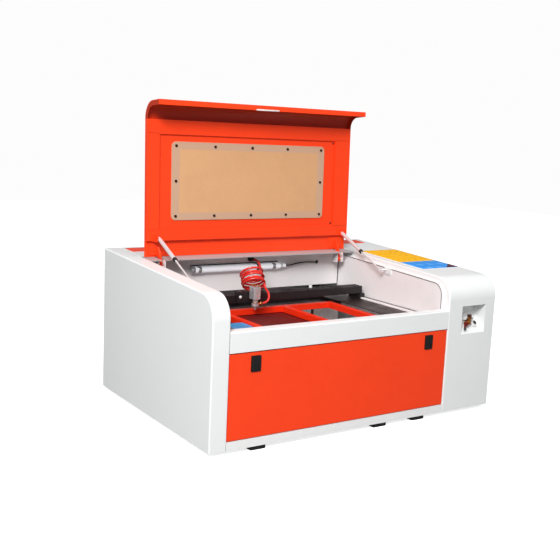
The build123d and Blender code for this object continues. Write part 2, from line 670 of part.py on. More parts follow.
def lid_liner():
    """Inner sheet of the lid with a sunk field and the window opening."""
    x0, x1 = LID_X0 + SHEET + 0.1, LID_X1 - SHEET - 0.1
    sheet = lid_form(LID_THICK - SHEET, x0, x1, LIP_REAR, RAIL_TOP + 4.2)
    sheet -= lid_form(LID_THICK, x0 - 1, x1 + 1, LIP_REAR + 1, RAIL_TOP + 4)
    heel = lid_form(SHEET + 0.1, x0, x1, LIP_REAR, RAIL_TOP + 4.2) & block(
        x0, x1, LIP_REAR - SHEET, LIP_REAR, FOOT + 380, FOOT + 440)
    heel -= lid_form(LID_THICK, x0 - 1, x1 + 1, LIP_REAR + 1, RAIL_TOP + 4)
    field = block(RECESS_X[0], RECESS_X[1], RECESS_Y[0], RECESS_Y[1], FOOT + 380, FOOT + 440)
    wall = block(RECESS_X[0] - SHEET, RECESS_X[1] + SHEET, RECESS_Y[0] - SHEET, RECESS_Y[1] + SHEET,
                 FOOT + 380, FOOT + 440)
    tray = ((lid_form(7, x0, x1) - lid_form(LID_THICK, x0 - 1, x1 + 1, LID_REAR + 1, RAIL_TOP)) & wall)
    tray -= field & lid_form(7 + SHEET, x0, x1)
    tray -= window_cut(450, 26)
    roll = block(x0 - 1, x1 + 1, 0, LIP_END, FOOT + 300, FOOT + 450)
    head = lid_form(SHEET + 0.1, x0, x1) & block(x0, x1, LIP_END, LIP_END + SHEET, FOOT + 380, FOOT + 440)
    head -= lid_form(LID_THICK, x0 - 1, x1 + 1, LIP_REAR + 1, RAIL_TOP + 4)
    return open_lid((sheet - wall - roll) + heel + head + tray)


def lid_window():
    """Mirror-bronze acrylic plate, still under its paper film."""
    plate = lid_form(9.1, *WINDOW_X) - lid_form(12.1, WINDOW_X[0] - 1, WINDOW_X[1] + 1, LID_REAR + 1,
                                                RAIL_TOP)
    plate = plate & block(*WINDOW_X, *WINDOW_Y, FOOT + 380, FOOT + 440)
    corners = plate.edges().filter_by(lambda e: e.length < 4)
    return open_lid(fillet(corners, 14))


def screw_places():
    """Plan positions of the window's screws."""
    x0, x1 = WINDOW_X[0] + 14, WINDOW_X[1] - 14
    y0, y1 = WINDOW_Y[0] + 12, WINDOW_Y[1] - 12
    across = [x0 + (x1 - x0) * i / 4 for i in range(5)]
    places = [(x, y) for x in across for y in (y0, y1)]
    return places + [(x, (y0 + y1) / 2) for x in (x0, x1)]


def lid_screws():
    """Pan-head screws around the window."""
    screws = []
    for x, y in screw_places():
        z = top(y) - 12.4
        screws.append(open_lid(bar((x, y, z), (x, y, z - 2.2), 4)))
    return screws


def lid_arms():
    """Cranked hinge arms from the pivot to leaves under the lid's rear edge."""
    arms = []
    for x in HINGE_XS:
        y, z = PIVOT_Y, PIVOT_Z
        under = top(LID_REAR - 20) - SHEET - 3
        crank = slab([(432, under + 1), (432, under - 6), (y - 36, z - 1), (y - 6, z - 6), (y + 3, z + 7),
                      (y - 28, z + 11), (y - 35, under + 1)], x - 3, x + 3)
        eye = bar((x - 3, y, z), (x + 3, y, z), 8)
        leaf = slab([(418, top(418) - SHEET - 2.6), (418, top(418) - SHEET - 0.1),
                     (456, top(456) - SHEET - 0.1), (456, top(456) - SHEET - 2.6)], x - 26, x + 26)
        pin_hole = bar((x - 4, y, z), (x + 4, y, z), 3.05)
        arms.append(open_lid(crank + eye + leaf - pin_hole))
    return arms


def hinge_brackets():
    """Cheeks under the deck with the hinge pins."""
    brackets = []
    for x in HINGE_XS:
        cheeks = None
        for side in (-1, 1):
            cx = x + side * 11
            plate = slab([(PIVOT_Y - 10, PIVOT_Z - 10), (PIVOT_Y + 12, PIVOT_Z - 10),
                          (PIVOT_Y + 12, top(PIVOT_Y + 12) - 2.6), (PIVOT_Y - 10, top(PIVOT_Y - 10) - 2.6)],
                         cx - 1.5, cx + 1.5)
            cheeks = plate if cheeks is None else cheeks + plate
        pin = bar((x - 14, PIVOT_Y, PIVOT_Z), (x + 14, PIVOT_Y, PIVOT_Z), 3)
        brackets.append(cheeks + pin)
    return brackets


# ---- gas struts ---------------------------------------------------------
STRUT_REACH = math.dist(STRUT_WALL, STRUT_LID)
STRUT_UNIT = tuple((b - a) / STRUT_REACH for a, b in zip(STRUT_WALL, STRUT_LID))
CYLINDER_LENGTH = 117.0
ROD_LENGTH = 112.0


def along_strut(x, distance):
    """Point on the axis of the strut at x, measured from its wall pivot."""
    return (x, STRUT_WALL[0] + STRUT_UNIT[0] * distance, STRUT_WALL[1] + STRUT_UNIT[1] * distance)


def strut_rod(x):
    """Polished rod with an eye on the wall pin."""
    eye = bar((x - 3, *STRUT_WALL), (x + 3, *STRUT_WALL), 4.5)
    rod_part = bar(along_strut(x, 4), along_strut(x, ROD_LENGTH), 2.8)
    return eye + rod_part - bar((x - 4, *STRUT_WALL), (x + 4, *STRUT_WALL), 2.55)


def strut_cylinder(x):
    """Gas cylinder that slides over the rod, with the eye for the lid's stud."""
    near, far = STRUT_REACH - CYLINDER_LENGTH, STRUT_REACH - 7
    body = bar(along_strut(x, near), along_strut(x, far), 6)
    bore = bar(along_strut(x, near - 1), along_strut(x, far - 4), 3)
    eye = bar((x - 2.5, *STRUT_LID), (x + 2.5, *STRUT_LID), 5)
    neck = bar(along_strut(x, far - 1), along_strut(x, STRUT_REACH - 3), 2.5)
    return body - bore + eye + neck


def strut_studs():
    """Angle brackets on the open lid with a stud beside each cylinder's eye."""
    studs = []
    seat = LID_OPEN_REAR[0] - LID_THICK - STRUT_LID[0] + 1.6
    for side in (-1, 1):
        plate = block(*sorted((side * 7.5, side * 10)), -7, seat, -10, 10)
        foot = block(*sorted((side * 7.5, side * 12.5)), seat - 2, seat, -10, 10)
        pin = bar((side * 2.8, 0, 0), (side * 8, 0, 0), 3)
        place = Pos(LID_MIDDLE + side * STRUT_X, *STRUT_LID) * Rot(-LID_TILT, 0, 0)
        studs.append(place * (plate + foot + pin))
    return studs


def strut_brackets():
    """Angle brackets on the chamber's side walls with the lower strut pins."""
    brackets = []
    for side in (-1, 1):
        x = LID_MIDDLE + side * STRUT_X
        wall = (CONSOLE_X - RIM_WIDTH - 0.3) if side > 0 else (WALL_X + RIM_WIDTH + 0.3)
        y, z = STRUT_WALL
        plate = block(*sorted((wall, wall - side * 3)), y - 22, y + 10, z - 14, z + 6)
        pin = bar((wall - side * 2, y, z), (x - side * 4.5, y, z), 2.5)
        brackets.append(plate + pin)
    return brackets


# ---- door, latches and tube cover ---------------------------------------
LATCH_XS = (-369.0, 231.0)
LATCH_Z = FOOT + 224.0
LATCH_W, LATCH_H = 29.0, 42.0


def front_door():
    """Folded door pan with two latch openings."""
    pan = block(DOOR_X0, DOOR_X1, 0, DOOR_DEPTH, DOOR_Z0, DOOR_Z1)
    pan -= block(DOOR_X0 + SHEET, DOOR_X1 - SHEET, SHEET, DOOR_DEPTH + 1, DOOR_Z0 + SHEET, DOOR_Z1 - SHEET)
    for x in LATCH_XS:
        pan -= block(x - LATCH_W / 2 - 0.6, x + LATCH_W / 2 + 0.6, -1, 5,
                     LATCH_Z - LATCH_H / 2 - 0.6, LATCH_Z + LATCH_H / 2 + 0.6)
    return pan


def door_latch(x):
    """Paddle of a push latch, hinged along its top edge."""
    paddle = block(x - LATCH_W / 2, x + LATCH_W / 2, -PROUD, 6, LATCH_Z - LATCH_H / 2, LATCH_Z + LATCH_H / 2)
    paddle = fillet(paddle.edges().filter_by(Axis.Y), 2.5)
    return paddle - block(x - 9, x + 9, -PROUD - 1, -PROUD + 1.5, LATCH_Z - 16, LATCH_Z - 4)


def tube_cover():
    """Orange cover over the laser tube, hinged along its back edge."""
    z0, z1 = top(TUBE_COVER_Y0) + 1, top(TUBE_COVER_Y1) + 1
    y0, y1 = TUBE_COVER_Y0, TUBE_COVER_Y1
    pan = slab([(y0, z0 - 12), (y0, z0), (y1, z1), (y1, z1 - 12)], TUBE_COVER_X0, TUBE_COVER_X1)
    hollow = slab([(y0 + 2, z0 - 13), (y0 + 2, z0 - 2), (y1 - 2, z1 - 2), (y1 - 2, z1 - 13)],
                  TUBE_COVER_X0 + 2, TUBE_COVER_X1 - 2)
    return pan - hollow


# ---- write every node ---------------------------------------------------
PIECES = {
    "base_pan": base_pan, "left_cover": left_cover, "console_cover": console_cover,
    "front_rail": front_rail, "front_sill": front_sill, "rear_panel": rear_panel,
    "rear_deck": rear_deck, "inner_back_wall": inner_back_wall,
    "rim_left": lambda: rim(-1), "rim_right": lambda: rim(1),
    "rubber_feet": rubber_feet, "work_bed": work_bed, "clamp_rails": clamp_rails,
    "clamp_stiles": clamp_stiles, "rail_covers": rail_covers, "y_rails": y_rails,
    "y_motor": y_motor, "drive_shaft": drive_shaft, "laser_tube": laser_tube,
    "tube_holders": tube_holders, "power_supply": power_supply, "control_board": control_board,
    "control_panel": control_panel, "power_inlet": power_inlet, "power_switch": power_switch,
    "exhaust_spigot": exhaust_spigot, "first_mirror": first_mirror, "led_tube": led_tube,
    "led_lead": led_lead, "hose_fitting": hose_fitting, "air_hose_tail": air_hose_tail,
    "air_hose_coil": air_hose_coil, "air_hose_end": air_hose_end, "valve_body": valve_body, "valve_knob": valve_knob,
    "valve_handle": valve_handle, "gas_port": gas_port, "x_beam": x_beam,
    "gantry_trolleys": gantry_trolleys, "x_motor": x_motor, "second_mirror": second_mirror,
    "carriage": carriage, "laser_head": laser_head, "lens_tube": lens_tube,
    "lid_shell": lid_shell, "lid_liner": lid_liner, "lid_window": lid_window,
    "lid_screws": lid_screws, "lid_arms": lid_arms, "hinge_brackets": hinge_brackets,
    "strut_rod_left": lambda: strut_rod(LID_MIDDLE - STRUT_X),
    "strut_rod_right": lambda: strut_rod(LID_MIDDLE + STRUT_X),
    "strut_cylinder_left": lambda: strut_cylinder(LID_MIDDLE - STRUT_X),
    "strut_cylinder_right": lambda: strut_cylinder(LID_MIDDLE + STRUT_X),
    "strut_studs": strut_studs, "strut_brackets": strut_brackets, "front_door": front_door,
    "door_latch_left": lambda: door_latch(LATCH_XS[0]),
    "door_latch_right": lambda: door_latch(LATCH_XS[1]), "tube_cover": tube_cover,
}

os.makedirs("parts", exist_ok=True)
for node, make in PIECES.items():
    shape = make()
    write(node, Compound(shape) if isinstance(shape, list) else shape)
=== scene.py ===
"""Desktop laser cutter: finishes, air hose, keypad, belts and small trim on the fixed machine."""
import json
import math

import bmesh
import bpy
import numpy as np
from bpy.props import FloatProperty, FloatVectorProperty, IntProperty, PointerProperty
from mathutils import Matrix, Vector


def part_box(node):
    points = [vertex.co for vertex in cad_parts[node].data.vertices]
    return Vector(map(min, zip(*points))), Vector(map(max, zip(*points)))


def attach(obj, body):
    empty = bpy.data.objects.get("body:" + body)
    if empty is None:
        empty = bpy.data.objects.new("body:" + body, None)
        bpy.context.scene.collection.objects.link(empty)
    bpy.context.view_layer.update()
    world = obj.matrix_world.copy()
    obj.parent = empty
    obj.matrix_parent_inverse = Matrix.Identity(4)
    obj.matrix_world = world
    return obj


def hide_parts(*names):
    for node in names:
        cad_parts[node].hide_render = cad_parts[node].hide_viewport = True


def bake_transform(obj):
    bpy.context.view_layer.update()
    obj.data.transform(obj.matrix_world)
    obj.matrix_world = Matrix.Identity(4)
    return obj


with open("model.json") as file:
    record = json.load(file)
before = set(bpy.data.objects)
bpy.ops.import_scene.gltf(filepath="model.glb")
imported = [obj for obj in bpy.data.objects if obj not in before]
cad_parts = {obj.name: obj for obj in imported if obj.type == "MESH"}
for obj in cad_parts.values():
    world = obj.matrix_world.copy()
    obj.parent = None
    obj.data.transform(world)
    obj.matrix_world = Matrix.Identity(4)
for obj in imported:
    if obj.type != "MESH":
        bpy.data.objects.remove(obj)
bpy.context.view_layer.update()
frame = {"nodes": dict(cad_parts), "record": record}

bl_info = {
    "name": "Desktop laser cutter",
    "version": (1, 0, 0),
    "blender": (4, 5, 0),
    "location": "3D View > Sidebar > Laser cutter",
    "description": "Finishes, hose, keypad, belts and trim of a desktop laser cutter",
    "category": "Object",
}

# Sizes are machine millimetres unless a name says otherwise: x from the middle, y from the front
# face, z from the table.
Y_MIDDLE = 368.25           # y of the frame's middle
FOOT = 12.0                 # height of the rubber feet
TOP_FRONT = FOOT + 404.4    # height of the sloping top at the front face
TOP_SLOPE = 32.6 / 684.0    # its rise over the body's depth
LID_TURN = math.radians(94.4)
LID_AXIS = (492.18, 412.87)             # y, z of the lid's hinge line
LIP_AXIS = (58.0, 369.1)                # y, z of the middle of the closed lid's front bend
LIP_INNER = 48.6                        # the bend's inner radius
LIP_RETURN = -40.0                      # height of the lip's folded edge from that axis
DECK_EDGE = 531.0                       # the rear deck is painted darker in front of this depth, as painted shade under the open lid
STRUT_XS = (("left", -412.0), ("right", 268.0))
STRUT_WALL = (282.0, FOOT + 394.0)      # y, z of the strut's pin on the wall
STRUT_LID = (489.0, FOOT + 488.0)       # y, z of its stud on the open lid
CYLINDER_LENGTH = 117.0
LIGHT_AXIS = (524.0, 394.0)             # y, z of the light tube's middle line
LENS_AXIS = (-160.0, 343.0)             # x, y of the laser head's middle line
NOZZLE_PORT = 313.5                     # height of the nozzle's air inlet
BELT_LEVEL = 284.0                      # height of the belts beside the guide rails
KEY_LIFT = 1.7                          # height of the keys' feet above the console's top


# ---- small tools ---------------------------------------------------------
def place(points):
    """Machine millimetres (x, y from the front face, z) to metres in the frame."""
    points = np.asarray(points, float)
    return (points - (0.0, Y_MIDDLE, 0.0)) / 1000.0


def top(y):
    """Height in mm of the body's sloping top at depth y."""
    return TOP_FRONT + TOP_SLOPE * np.asarray(y, float)


def opened(points):
    """Points given on the closed lid, turned about its hinge line to the open lid, in mm."""
    points = np.array(points, float)
    y, z = points[..., 1] - LID_AXIS[0], points[..., 2] - LID_AXIS[1]
    c, s = math.cos(LID_TURN), math.sin(LID_TURN)
    points[..., 1] = LID_AXIS[0] + y * c + z * s
    points[..., 2] = LID_AXIS[1] - y * s + z * c
    return points


def linear(code):
    """sRGB hex colour to linear RGBA."""
    parts = [int(code[i:i + 2], 16) / 255 for i in (1, 3, 5)]
    return (*[c / 12.92 if c <= 0.04045 else ((c + 0.055) / 1.055) ** 2.4 for c in parts], 1.0)


def shade(colour, share):
    """The same hue at another brightness."""
    return (*[c * share for c in colour[:3]], 1.0)


def surface(name, grid, finish, body, around=True, caps=True, smooth=True):
    """Mesh from a grid of points P(u, v) in machine mm: rows run along u, columns around v.

    Quads join neighbouring points; around closes the columns into a tube, and caps closes
    the first and last row with one face each.
    """
    grid = place(grid)
    rows, columns = grid.shape[:2]
    index = np.arange(rows * columns).reshape(rows, columns)
    right = np.roll(index, -1, axis=1)
    if not around:
        index, right = index[:, :-1], right[:, :-1]
    quads = np.stack([index[:-1], right[:-1], right[1:], index[1:]], axis=-1).reshape(-1, 4)
    faces = quads.tolist()
    if caps and around:
        ring = np.arange(columns)
        faces += [ring[::-1].tolist(), (ring + (rows - 1) * columns).tolist()]
    mesh = bpy.data.meshes.new(name)
    mesh.from_pydata(grid.reshape(-1, 3), [], faces)
    mesh.validate()
    flat = np.zeros(len(mesh.polygons), bool)
    flat[:len(quads)] = smooth
    mesh.polygons.foreach_set("use_smooth", flat)
    return finished(mesh, name, finish_of(finish), body)


def finished(mesh, name, finish, body):
    """Object from a mesh, facing outwards, with its finish, slot and body."""
    work = bmesh.new()
    work.from_mesh(mesh)
    bmesh.ops.remove_doubles(work, verts=work.verts, dist=1e-7)
    bmesh.ops.recalc_face_normals(work, faces=work.faces)
    work.to_mesh(mesh)
    work.free()
    piece = bpy.data.objects.new(name, mesh)
    bpy.context.scene.collection.objects.link(piece)
    mesh.materials.append(finish)
    if body:
        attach(piece, body)
    return piece


def crease(piece, degrees=35):
    """Splits the shading at edges sharper than this."""
    piece.data.set_sharp_from_angle(angle=math.radians(degrees))


def rounded_outline(width, height, radius, count=9):
    """Corner points of a rectangle with circular corners: centre plus radius at even angles."""
    turn = np.linspace(0, math.pi / 2, count)
    corners = []
    for k, (sx, sy) in enumerate(((1, 1), (-1, 1), (-1, -1), (1, -1))):
        angle = turn + k * math.pi / 2
        corners.append(np.stack([sx * (width / 2 - radius) + radius * np.cos(angle),
                                 sy * (height / 2 - radius) + radius * np.sin(angle)], axis=-1))
    return np.concatenate(corners)


def pad(width, height, radius, rise, edge, crown=0.0, count=9):
    """Raised pad about its own middle: the outline shrinks by edge while it rises.

    Row k is the outline pulled in by edge * (1 - cos t) at height rise * sin t, then the top
    shrinks to the middle, where it stands crown higher by a parabola.
    """
    rows = []
    for t in np.linspace(0, math.pi / 2, 5):
        pull = edge * (1 - math.cos(t))
        outline = rounded_outline(width - 2 * pull, height - 2 * pull, max(radius - pull, 0.05), count)
        rows.append(np.column_stack([outline, np.full(len(outline), rise * math.sin(t))]))
    base = rounded_outline(width, height, radius, count)
    rows.insert(0, np.column_stack([base, np.full(len(base), -0.4)]))
    last = rows[-1]
    for share in (0.75, 0.5, 0.25, 0.02):
        ring = last.copy()
        ring[:, :2] *= share
        ring[:, 2] = rise + crown * (1 - share ** 2)
        rows.append(ring)
    return np.array(rows)


def revolve(profile, start, axis, count=32):
    """Surface of revolution: each (radius, distance) pair makes a circle across the axis."""
    axis = Vector(axis).normalized()
    side = axis.orthogonal().normalized()
    other = axis.cross(side)
    angle = np.linspace(0, 2 * math.pi, count, endpoint=False)
    circle = np.cos(angle)[:, None] * np.array(side) + np.sin(angle)[:, None] * np.array(other)
    profile = np.asarray(profile, float)
    along = np.array(start) + profile[:, 1:2] * np.array(axis)
    return along[:, None, :] + np.maximum(profile[:, 0], 0.01)[:, None, None] * circle[None]


def frames_along(path):
    """Tangents and two steady normals along a path, each turned as little as possible."""
    path = np.asarray(path, float)
    tangent = np.gradient(path, axis=0)
    tangent /= np.linalg.norm(tangent, axis=1)[:, None]
    normal = np.zeros_like(path)
    seed = np.cross(tangent[0], (0.0, 0.0, 1.0))
    if np.linalg.norm(seed) < 1e-3:
        seed = np.cross(tangent[0], (0.0, 1.0, 0.0))
    normal[0] = seed / np.linalg.norm(seed)
    for i in range(1, len(path)):
        step = normal[i - 1] - tangent[i] * np.dot(normal[i - 1], tangent[i])
        normal[i] = step / np.linalg.norm(step)
    return tangent, normal, np.cross(tangent, normal)


def tube(path, radius, count=14):
    """Round tube: at each path point a circle of the radius across the path's direction."""
    path = np.asarray(path, float)
    _, normal, other = frames_along(path)
    angle = np.linspace(0, 2 * math.pi, count, endpoint=False)
    radius = np.broadcast_to(np.asarray(radius, float), (len(path),))[:, None, None]
    return path[:, None] + radius * (np.cos(angle)[None, :, None] * normal[:, None]
                                     + np.sin(angle)[None, :, None] * other[:, None])


def bar_grid(start, end, width, height, radius, up=(0, 0, 1), count=5):
    """Straight bar with a rounded rectangular section carried from start to end."""
    start, end = np.array(start, float), np.array(end, float)
    run = (end - start) / np.linalg.norm(end - start)
    side = np.cross(run, np.array(up, float))
    side /= np.linalg.norm(side)
    lift = np.cross(side, run)
    outline = rounded_outline(width, height, radius, count)
    section = outline[:, :1] * side + outline[:, 1:] * lift
    inner = section * 0.86
    rows = [start + inner, start + run * 0.4 + section, end - run * 0.4 + section, end + inner]
    return np.array(rows)


# ---- finishes ------------------------------------------------------------
def add(tree, kind, inputs=None, **settings):
    """Adds one shader node, sets its properties, and fills or links its inputs."""
    node = tree.nodes.new("ShaderNode" + kind)
    for name, value in settings.items():
        setattr(node, name, value)
    for name, value in (inputs or {}).items():
        if isinstance(value, bpy.types.NodeSocket):
            tree.links.new(value, node.inputs[name])
        else:
            node.inputs[name].default_value = value
    return node


def per_metre(size_mm):
    """Pattern scale from the size of one of its features."""
    return 1000.0 / size_mm


def blank(name, **constants):
    """Material with one Principled shader whose constants sit on its own sockets."""
    finish = bpy.data.materials.new(name)
    finish.use_nodes = True
    tree = finish.node_tree
    tree.nodes.clear()
    shader = add(tree, "BsdfPrincipled", {k.replace("_", " "): v for k, v in constants.items()})
    add(tree, "OutputMaterial", {"Surface": shader.outputs["BSDF"]})
    where = add(tree, "TexCoord").outputs["Object"]
    return finish, tree, shader, where


def connect(tree, shader, **sockets):
    """Links outputs to the shader's sockets by name."""
    for name, output in sockets.items():
        tree.links.new(output, shader.inputs[name.replace("_", " ")])


def dress(tree, shader, tint, pattern, rough, relief=None, strength=0.0, depth_mm=0.0):
    """Colour, roughness and relief on the shader.

    tint is a colour output, or the pattern, colour and second colour that are mixed into one. The
    roughness runs over the range rough with its pattern, and relief is a height depth_mm deep.
    """
    if isinstance(tint, tuple):
        factor, colour, second = tint
        tint = add(tree, "Mix", {"Factor": factor, "A": colour, "B": second},
                   data_type="RGBA").outputs["Result"]
    dull = add(tree, "MapRange", {"Value": pattern, "From Min": 0.3, "From Max": 0.7,
                                  "To Min": rough[0], "To Max": rough[1]})
    connect(tree, shader, Base_Color=tint, Roughness=dull.outputs[0])
    if relief:
        skin = add(tree, "Bump", {"Height": relief, "Strength": strength, "Distance": depth_mm / 1000})
        connect(tree, shader, Normal=skin.outputs[0])


def inside_lip(tree, where):
    """1 on the hollow side of the lid's front bend, where the lid's coat is painted darker as painted shade
    under the lip, and 0 elsewhere.

    The coordinates are turned back to the closed lid about the bend's axis. A point is inside where
    hypot(min(y, 0), max(z, 0)) is less than the bend's inner radius, y is before the liner and
    z is above the return along the lip's edge.
    """
    axis = place(opened((0.0, LIP_AXIS[0], LIP_AXIS[1])))
    moved = add(tree, "VectorMath", {0: where, 1: tuple(axis)}, operation="SUBTRACT")
    closed = add(tree, "VectorRotate", {"Vector": moved.outputs[0], "Angle": LID_TURN},
                 rotation_type="X_AXIS")
    parts = add(tree, "SeparateXYZ", {"Vector": closed.outputs[0]})
    front = add(tree, "Math", {0: parts.outputs["Y"], 1: 0.0}, operation="MINIMUM")
    above = add(tree, "Math", {0: parts.outputs["Z"], 1: 0.0}, operation="MAXIMUM")
    pair = add(tree, "CombineXYZ", {"Y": front.outputs[0], "Z": above.outputs[0]})
    reach = add(tree, "VectorMath", {0: pair.outputs[0]}, operation="LENGTH")
    within = add(tree, "Math", {0: reach.outputs["Value"], 1: LIP_INNER / 1000}, operation="LESS_THAN")
    mask = within.outputs[0]
    for side, limit, test in (("Y", 0.0, "LESS_THAN"), ("Z", LIP_RETURN / 1000, "GREATER_THAN")):
        kept = add(tree, "Math", {0: parts.outputs[side], 1: limit}, operation=test)
        mask = add(tree, "Math", {0: mask, 1: kept.outputs[0]}, operation="MULTIPLY").outputs[0]
    return mask


def before_edge(edge):
    """1 in front of a depth y of the frame, in metres, and 0 behind it."""
    def mask(tree, where):
        depth = add(tree, "SeparateXYZ", {"Vector": where}).outputs["Y"]
        return add(tree, "Math", {0: depth, 1: edge}, operation="LESS_THAN").outputs[0]
    return mask


def powder_coat(name, colour, film_share=0.9, rough=0.36, painted_shade=None, painted_shade_share=0.5):
    """Polyester powder coat on folded sheet steel.

    Cured powder has orange peel about 2.5 mm across, a film of handling and dust in broad
    clouds that dulls it, and rare pinhead nibs. An optional mask marks where shade is painted:
    there the coat is painted darker by the given share, standing in for shade.
    """
    finish, tree, shader, where = blank(name, IOR=1.5, Specular_IOR_Level=0.3)
    peel = add(tree, "TexNoise", {"Vector": where, "Scale": per_metre(2.5), "Detail": 2.0,
                                  "Roughness": 0.45})
    cloud = add(tree, "TexNoise", {"Vector": where, "Scale": per_metre(170), "Detail": 5.0,
                                   "Roughness": 0.6})
    film = add(tree, "MapRange", {"Value": cloud.outputs["Fac"], "From Min": 0.42,
                                  "From Max": 0.68, "To Min": 0.0, "To Max": 0.55})
    nib = add(tree, "TexVoronoi", {"Vector": where, "Scale": per_metre(26)})
    speck = add(tree, "MapRange", {"Value": nib.outputs["Distance"], "From Min": 0.012,
                                   "From Max": 0.03, "To Min": 0.85, "To Max": 0.0})
    worn = add(tree, "Math", {0: film.outputs[0], 1: speck.outputs[0]}, operation="MAXIMUM")
    tint = add(tree, "Mix", {"Factor": worn.outputs[0], "A": colour,
                             "B": shade(colour, film_share)}, data_type="RGBA")
    # Painted shade: where the mask is 1 the colour is darkened to stand in for shade.
    if painted_shade:
        tint = add(tree, "Mix", {"Factor": painted_shade(tree, where), "A": tint.outputs["Result"],
                                 "B": shade(colour, painted_shade_share)}, data_type="RGBA")
    dress(tree, shader, tint.outputs["Result"], cloud.outputs["Fac"], (rough - 0.05, rough + 0.08),
          peel.outputs["Fac"], 0.22, 0.4)
    return finish


def brushed_metal(name, colour, grain, rough=0.3, metal=1.0):
    """Ground or brushed metal: fine lines along one direction, drawn 0.5 mm apart so that they show.

    grain is the stretch of the pattern along x, y and z; a long line has a small number.
    """
    finish, tree, shader, where = blank(name, Metallic=metal)
    lines = add(tree, "Mapping", {"Vector": where, "Scale": grain})
    scratch = add(tree, "TexNoise", {"Vector": lines.outputs[0], "Scale": per_metre(0.5),
                                     "Detail": 3.0, "Roughness": 0.55})
    haze = add(tree, "TexNoise", {"Vector": where, "Scale": per_metre(22), "Detail": 3.0})
    dress(tree, shader, (haze.outputs["Fac"], colour, shade(colour, 0.78)), scratch.outputs["Fac"],
          (rough - 0.08, rough + 0.12), scratch.outputs["Fac"], 0.15, 0.1)
    return finish


def moulded_plastic(name, colour, grain_mm=0.9, rough=0.45, depth=0.12, **constants):
    """Injection-moulded plastic: spark-eroded grain from the tool and faint flow clouds."""
    finish, tree, shader, where = blank(name, IOR=1.49, **constants)
    grain = add(tree, "TexVoronoi", {"Vector": where, "Scale": per_metre(grain_mm)})
    flow = add(tree, "TexNoise", {"Vector": where, "Scale": per_metre(14), "Detail": 3.0})
    dress(tree, shader, (flow.outputs["Fac"], colour, shade(colour, 0.72)), flow.outputs["Fac"],
          (rough - 0.06, rough + 0.08), grain.outputs["Distance"], depth, 0.3)
    return finish


def black_lacquer(name, colour, scuffs=0.5):
    """Black stoving enamel on steel and extrusion: satin, with grey rubbed scuffs and fine dust."""
    finish, tree, shader, where = blank(name, IOR=1.5)
    stretch = add(tree, "Mapping", {"Vector": where, "Scale": (0.12, 1.0, 1.0)})
    rub = add(tree, "TexNoise", {"Vector": stretch.outputs[0], "Scale": per_metre(7),
                                 "Detail": 6.0, "Roughness": 0.7})
    dust = add(tree, "TexNoise", {"Vector": where, "Scale": per_metre(60), "Detail": 6.0})
    mark = add(tree, "MapRange", {"Value": rub.outputs["Fac"], "From Min": 0.6, "From Max": 0.8,
                                  "To Min": 0.0, "To Max": scuffs})
    dress(tree, shader, (mark.outputs[0], colour, linear("#4A4648")), dust.outputs["Fac"],
          (0.34, 0.58), rub.outputs["Fac"], 0.1, 0.3)
    return finish


def kraft_masked_acrylic(name, colour, shaded_edge_colour):
    """Kraft paper masking on the window's acrylic sheet.

    Unbleached fibres about 3 mm long lie every way, damp clouds darken it, and a strip
    26 mm wide round the edge, over the frame, is painted greyer as shade where no light comes through.
    """
    finish, tree, shader, where = blank(name, IOR=1.45, Sheen_Weight=0.08)
    low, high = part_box("lid_window")
    middle = [(a + b) / 2 for a, b in zip(low, high)]
    half = [(b - a) / 2 for a, b in zip(low, high)]
    spot = add(tree, "VectorMath", {0: where, 1: middle}, operation="SUBTRACT")
    size = add(tree, "VectorMath", {0: spot.outputs[0]}, operation="ABSOLUTE")
    parts = add(tree, "SeparateXYZ", {"Vector": size.outputs[0]})
    from_side = add(tree, "Math", {0: parts.outputs["X"], 1: half[0] - 0.026}, operation="SUBTRACT")
    from_end = add(tree, "Math", {0: parts.outputs["Z"], 1: half[2] - 0.022}, operation="SUBTRACT")
    nearest = add(tree, "Math", {0: from_side.outputs[0], 1: from_end.outputs[0]}, operation="MAXIMUM")
    border = add(tree, "MapRange", {"Value": nearest.outputs[0], "From Min": -0.002,
                                    "From Max": 0.002, "To Min": 0.0, "To Max": 1.0})
    fibre = add(tree, "TexNoise", {"Vector": where, "Scale": per_metre(3.0), "Detail": 8.0,
                                   "Roughness": 0.75, "Distortion": 1.2})
    cloud = add(tree, "TexNoise", {"Vector": where, "Scale": per_metre(90), "Detail": 5.0,
                                   "Roughness": 0.6})
    fleck = add(tree, "MapRange", {"Value": fibre.outputs["Fac"], "From Min": 0.35,
                                   "From Max": 0.7, "To Min": 0.0, "To Max": 0.35})
    paper = add(tree, "Mix", {"Factor": fleck.outputs[0], "A": colour,
                              "B": shade(colour, 0.72)}, data_type="RGBA")
    damp = add(tree, "MapRange", {"Value": cloud.outputs["Fac"], "From Min": 0.4,
                                  "From Max": 0.7, "To Min": 0.0, "To Max": 0.35})
    stained = add(tree, "Mix", {"Factor": damp.outputs[0], "A": paper.outputs["Result"],
                                "B": shade(colour, 0.8)}, data_type="RGBA")
    # The edge strip is painted in the darker edge colour, as painted shade.
    framed = add(tree, "Mix", {"Factor": border.outputs[0], "A": stained.outputs["Result"],
                               "B": shaded_edge_colour}, data_type="RGBA")
    skin = add(tree, "Bump", {"Height": fibre.outputs["Fac"], "Strength": 0.25, "Distance": 0.0004})
    connect(tree, shader, Base_Color=framed.outputs["Result"], Normal=skin.outputs[0])
    shader.inputs["Roughness"].default_value = 0.72
    return finish


def drawn_glass(name, colour):
    """Borosilicate laser tube: clear drawn glass with faint draw lines and the plasma bore's haze."""
    finish, tree, shader, where = blank(name, IOR=1.47, Transmission_Weight=0.85)
    stretch = add(tree, "Mapping", {"Vector": where, "Scale": (0.04, 1.0, 1.0)})
    lines = add(tree, "TexNoise", {"Vector": stretch.outputs[0], "Scale": per_metre(3), "Detail": 2.0})
    dress(tree, shader, (lines.outputs["Fac"], colour, shade(colour, 0.86)), lines.outputs["Fac"],
          (0.02, 0.12))
    return finish


